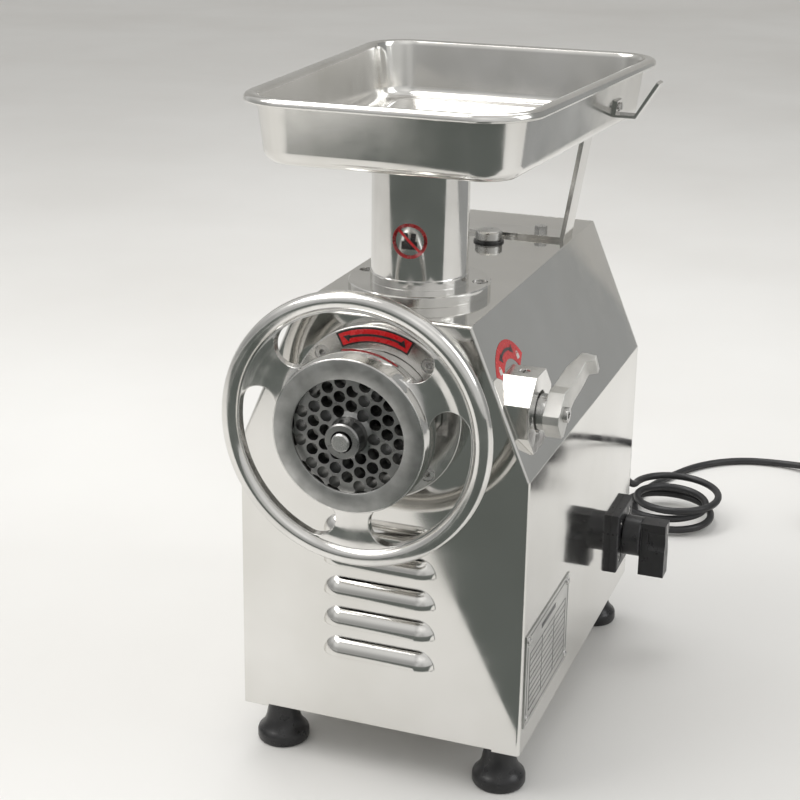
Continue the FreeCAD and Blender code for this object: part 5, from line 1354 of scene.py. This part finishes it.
@dataclass
class LockSide:
    """Lock block, its bolt and lever, and the mark on the sloping side."""

    facet_rise: float = 0.103
    facet_run: float = 0.043
    mark_radius: float = 0.0260
    mark_width: float = 0.0135
    mark_z: float = 0.2935
    mark_y: float = -0.0900
    mark_lift: float = 0.00015

    def lock_mark(self) -> None:
        """Red kidney-shaped foil with a turning arrow and a small lock at each end."""
        shell_low, shell_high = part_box("housing_shell")
        slope = math.atan2(self.facet_run, self.facet_rise)
        top_half = (shell_high.x - shell_low.x) / 2 - self.facet_run
        centre_x = (shell_high.x + shell_low.x) / 2
        x = centre_x + top_half + (shell_high.z - self.mark_z) * self.facet_run / self.facet_rise
        along = Vector((0, 1, 0))
        up = Vector((-math.sin(slope), 0, math.cos(slope)))
        out = along.cross(up)
        place = Matrix((along, up, out)).transposed().to_4x4()
        place = Matrix.Translation(Vector((x, self.mark_y, self.mark_z)) + out * 0.00005) @ place
        sticker = Sticker()
        radius, width = self.mark_radius, self.mark_width
        sticker.stick("lock_mark_base", [sticker.arc(radius, width, 28, 152, 0.0)], place, RED_FOIL)
        arrow = [sticker.arc(radius, width * 0.16, 66, 114, self.mark_lift),
                 sticker.arrow_head(radius, 64, 30, width * 0.28, self.mark_lift),
                 sticker.arrow_head(radius, 116, 90, width * 0.28, self.mark_lift)]
        sticker.stick("lock_mark_arrow", arrow, place, DARK_FOIL)
        locks = []
        for angle in (42, 138):
            x = radius * math.cos(math.radians(angle))
            y = radius * math.sin(math.radians(angle))
            locks.append(sticker.bar((x, y - 0.0012), (0.0048, 0.0036), 0, self.mark_lift))
            loop = sticker.arc(0.0014, 0.0007, 0, 180, self.mark_lift)
            bmesh.ops.translate(loop, verts=loop.verts, vec=(x, y + 0.0008, 0))
            locks.append(loop)
        sticker.stick("lock_mark_locks", locks, place, PALE_FOIL)

    def build(self) -> None:
        """Dress the lock and add its mark."""
        dress(WHEEL_CAST, "clamp_block")
        dress(MACHINED, "lock_bolt")
        dress(LEVER_CAST, "lock_lever")
        dress(FASTENER, "clamp_block_screws", "lock_lever_screw")
        self.lock_mark()


@dataclass
class RotarySwitch:
    """Black rotary switch with its plain dial marks."""

    mark_radius: float = 0.0215
    mark_size: Pair = (0.0040, 0.0010)
    marks: int = 3
    pointer_size: Pair = (0.0090, 0.0014)
    pointer_room: float = 0.0065

    def build(self) -> None:
        """Dress the switch and add its marks."""
        dress(BLACK, "switch_bezel", "switch_knob", "switch_body")
        dress(FASTENER, "switch_screws")
        low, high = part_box("switch_bezel")
        centre = (low + high) / 2
        sticker = Sticker()
        turn = Matrix((Vector((0, 1, 0)), Vector((0, 0, 1)), Vector((1, 0, 0)))).transposed().to_4x4()
        place = Matrix.Translation((high.x, centre.y, centre.z)) @ turn
        dial = []
        for number in range(self.marks):
            angle = 90 + 45 * (number - 1)
            at = (self.mark_radius * math.cos(math.radians(angle)),
                  self.mark_radius * math.sin(math.radians(angle)))
            dial.append(sticker.bar(at, self.mark_size, angle, 0.0))
        sticker.stick("dial_marks", dial, place, PALE_FOIL)
        _, knob_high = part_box("switch_knob")
        pointer_at = (0.0, knob_high.z - centre.z - self.pointer_room)
        pointer = sticker.bar(pointer_at, self.pointer_size, 90, 0.0)
        at_face = Matrix.Translation((knob_high.x, centre.y, centre.z)) @ turn
        sticker.stick("knob_pointer", [pointer], at_face, PALE_FOIL, Body.KNOB)


@dataclass
class OilCap:
    """Knurled filler cap over the gearbox."""

    ribs: int = 48
    depth: float = 0.00045
    height: float = 0.0080

    def build(self) -> None:
        """Turn the cap and press its knurl."""
        low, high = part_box("oil_cap")
        centre = Vector(((low.x + high.x) / 2, (low.y + high.y) / 2, high.z))
        radius = (high.x - low.x) / 2
        height = self.height
        profile = ((0.0, -height), (radius - 0.0008, -height), (radius - 0.0006, -height + 0.0010),
                   (radius, -height + 0.0014), (radius, -0.0016), (radius - 0.0012, -0.0004),
                   (radius - 0.0022, 0.0), (0.0, 0.0))
        bm = turned(profile, centre, Axis.Z, 2 * self.ribs, False)
        for vert in bm.verts:
            out = math.hypot(vert.co.x - centre.x, vert.co.y - centre.y)
            turn = math.atan2(vert.co.y - centre.y, vert.co.x - centre.x) * self.ribs / math.pi
            if out > radius - 0.0002 and round(turn) % 2:
                share = (out - self.depth) / out
                vert.co.x = centre.x + (vert.co.x - centre.x) * share
                vert.co.y = centre.y + (vert.co.y - centre.y) * share
        finished(plain_object("oil_cap_knurled", bm), MACHINED, Body.OIL_CAP, ("oil_cap",))
        dress(RUBBER, "oil_cap_washer")


# ---------------------------------------------------------------- tray
@dataclass
class Tray:
    """Pressed feed tray with a rolled rim, a stepped floor and a neck."""

    front_half: float = 0.0996
    back_half: float = 0.1196
    corner: float = 0.0380
    depth: float = 0.0450
    sheet: float = 0.0012
    rim: float = 0.0090
    taper: float = 0.0045
    floor_radius: float = 0.0090
    neck_radius: float = 0.0307
    neck_length: float = 0.0180
    bottom_steps: int = 4
    hem_drop: float = 0.0012
    hem_tuck: float = 0.0008

    def outline(self, front_y: float, back_y: float, centre_x: float, z: float) -> bmesh.types.BMesh:
        """Trapezium face with round corners, wider at the back.

        Args:
            front_y: front edge.
            back_y: back edge.
            centre_x: middle line.
            z: height.

        Returns:
            One face.
        """
        bm = bmesh.new()
        corners = [bm.verts.new((centre_x + side * half, y, z))
                   for side, half, y in ((-1, self.front_half, front_y), (1, self.front_half, front_y),
                                         (1, self.back_half, back_y), (-1, self.back_half, back_y))]
        bm.faces.new(corners)
        bmesh.ops.bevel(bm, geom=corners, offset=self.corner, offset_type="OFFSET", segments=12, profile=0.5,
                        affect="VERTICES", material=-1)
        bm.normal_update()
        for face in bm.faces:
            if face.normal.z < 0:
                face.normal_flip()
        return bm

    def pressed(self, hole: Vector) -> bpy.types.Object:
        """Press the tray from its outline by a chain of insets.

        Args:
            hole: middle of the hole over the feed tube.

        Returns:
            The tray with its neck, as thick as its sheet.
        """
        low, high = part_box("tray")
        centre_x = (low.x + high.x) / 2
        bm = self.outline(low.y, high.y, centre_x, high.z - 0.0042)
        wall_drop = self.depth - self.floor_radius - 0.0030
        bead = [(0.0003, 0.0018), (0.0008, 0.0013), (0.0013, 0.0008), (0.0015, 0.0003)]
        shoulder = [(self.rim - 0.0054, -0.0004), (0.0010, -0.0004), (0.0006, -0.0012), (0.0006, -0.0020)]
        wall = [(self.taper - 0.0006, -(wall_drop - 0.0010))]
        bottom = []
        for number in range(self.bottom_steps):
            first = math.pi / 2 * number / self.bottom_steps
            second = math.pi / 2 * (number + 1) / self.bottom_steps
            bottom.append((self.floor_radius * (math.cos(first) - math.cos(second)) * 0.9,
                           -self.floor_radius * (math.sin(second) - math.sin(first)) * 0.98))
        border = [(0.0060, 0.0), (0.0012, 0.0009), (0.0012, 0.0002), (0.0030, 0.0), (0.0010, -0.0004)]
        for inset, rise in bead + shoulder + wall + bottom + border:
            face = max(bm.faces, key=lambda f: len(f.verts))
            bmesh.ops.inset_region(bm, faces=[face], thickness=inset, depth=0.0, use_even_offset=True,
                                   use_boundary=True)
            face = max(bm.faces, key=lambda f: len(f.verts))
            bmesh.ops.translate(bm, verts=face.verts[:], vec=(0, 0, rise))
        self.pierce(bm, hole)
        edge = [e for e in bm.edges if e.is_boundary and e.verts[0].co.z > high.z - self.depth / 2]
        grown = bmesh.ops.extrude_edge_only(bm, edges=edge)
        lower = [item for item in grown["geom"] if isinstance(item, bmesh.types.BMVert)]
        bmesh.ops.translate(bm, verts=lower, vec=(0, 0, -self.hem_drop))
        self.draw_in(bm, lower, centre_x, (low.y + high.y) / 2, self.hem_tuck)
        bmesh.ops.recalc_face_normals(bm, faces=bm.faces)
        floor_face = max(bm.faces, key=lambda f: f.calc_area())
        if floor_face.normal.z < 0:
            bmesh.ops.reverse_faces(bm, faces=bm.faces)
        obj = plain_object("feed_tray", bm)
        solid = obj.modifiers.new("sheet", "SOLIDIFY")
        solid.thickness = self.sheet - 0.0001
        solid.offset = -1.0
        solid.use_even_offset = False
        return settled(obj)

    def draw_in(self, bm: bmesh.types.BMesh, verts: Sequence, centre_x: float, centre_y: float,
                distance: float) -> None:
        """Pull verts a little towards the tray's middle.

        Args:
            bm: pressed sheet.
            verts: verts to pull.
            centre_x: tray's middle line.
            centre_y: tray's middle from front to back.
            distance: how far they move.
        """
        for vert in verts:
            inward = Vector((centre_x - vert.co.x, centre_y - vert.co.y, 0)).normalized()
            vert.co += inward * distance

    def pierce(self, bm: bmesh.types.BMesh, hole: Vector) -> None:
        """Open the floor and draw its edge down into the neck.

        Args:
            bm: pressed sheet, whose largest polygon is the floor.
            hole: middle of the hole.
        """
        face = max(bm.faces, key=lambda f: len(f.verts))
        floor_z = face.verts[0].co.z
        rim_edges = face.edges[:]
        bmesh.ops.delete(bm, geom=[face], context="FACES_ONLY")
        mouth = self.neck_radius + 0.0015
        ring = bmesh.ops.create_circle(bm, cap_ends=False, segments=64, radius=mouth,
                                       matrix=Matrix.Translation((hole.x, hole.y, floor_z)))["verts"]
        ring_edges = [e for e in bm.edges if e.verts[0] in ring and e.verts[1] in ring]
        bmesh.ops.triangle_fill(bm, use_beauty=True, use_dissolve=False, edges=rim_edges + ring_edges)
        loop = ring_edges
        for drop, inner in ((0.0004, self.neck_radius + 0.0004), (0.0015, self.neck_radius),
                            (self.neck_length - 0.0005, self.neck_radius)):
            grown = bmesh.ops.extrude_edge_only(bm, edges=loop)["geom"]
            verts = [item for item in grown if isinstance(item, bmesh.types.BMVert)]
            loop = [item for item in grown if isinstance(item, bmesh.types.BMEdge)
                    and item.verts[0] in verts and item.verts[1] in verts]
            for vert in verts:
                out = Vector((vert.co.x - hole.x, vert.co.y - hole.y, 0)).normalized() * (inner - self.sheet)
                vert.co = Vector((hole.x + out.x, hole.y + out.y, vert.co.z - drop))

    def build(self) -> None:
        """Press the tray with its neck, and dress its hook."""
        finished(self.pressed(middle("feed_tube")), TRAY_STEEL, Body.TRAY, ("tray",))
        dress(TUBE_STEEL, "tray_hook")
        dress(FASTENER, "tray_hook_rivets")


@dataclass
class Drive:
    """Gearbox, motor and electrical pieces inside the cabinet."""

    def build(self) -> None:
        """Dress the hidden pieces."""
        dress(IRON, "gearbox_case", "gearbox_cover")
        dress(GEAR, "output_gear", "intermediate_gear")
        dress(MACHINED, "gearbox_bearings", "motor_bearings", "motor_rotor")
        dress(FASTENER, "gearbox_screws", "motor_cradle")
        dress(PAINT, "motor_housing", "motor_end_cover")
        dress(LAMINATION, "motor_stator")
        dress(NYLON, "motor_fan", "terminal_block")
        dress(GREY, "capacitor")


def main() -> None:
    """Build every group in order."""
    logging.basicConfig(level=logging.INFO, format="%(name)s: %(message)s")
    Studio().camera()
    PowerCord().build()
    Studio().build()
    for group in (Housing(), Nameplate(), GrindingHead(), LockSide(), RotarySwitch(), OilCap(),
                  Tray(), Drive()):
        group.build()


if __name__ == "__main__":
    main()
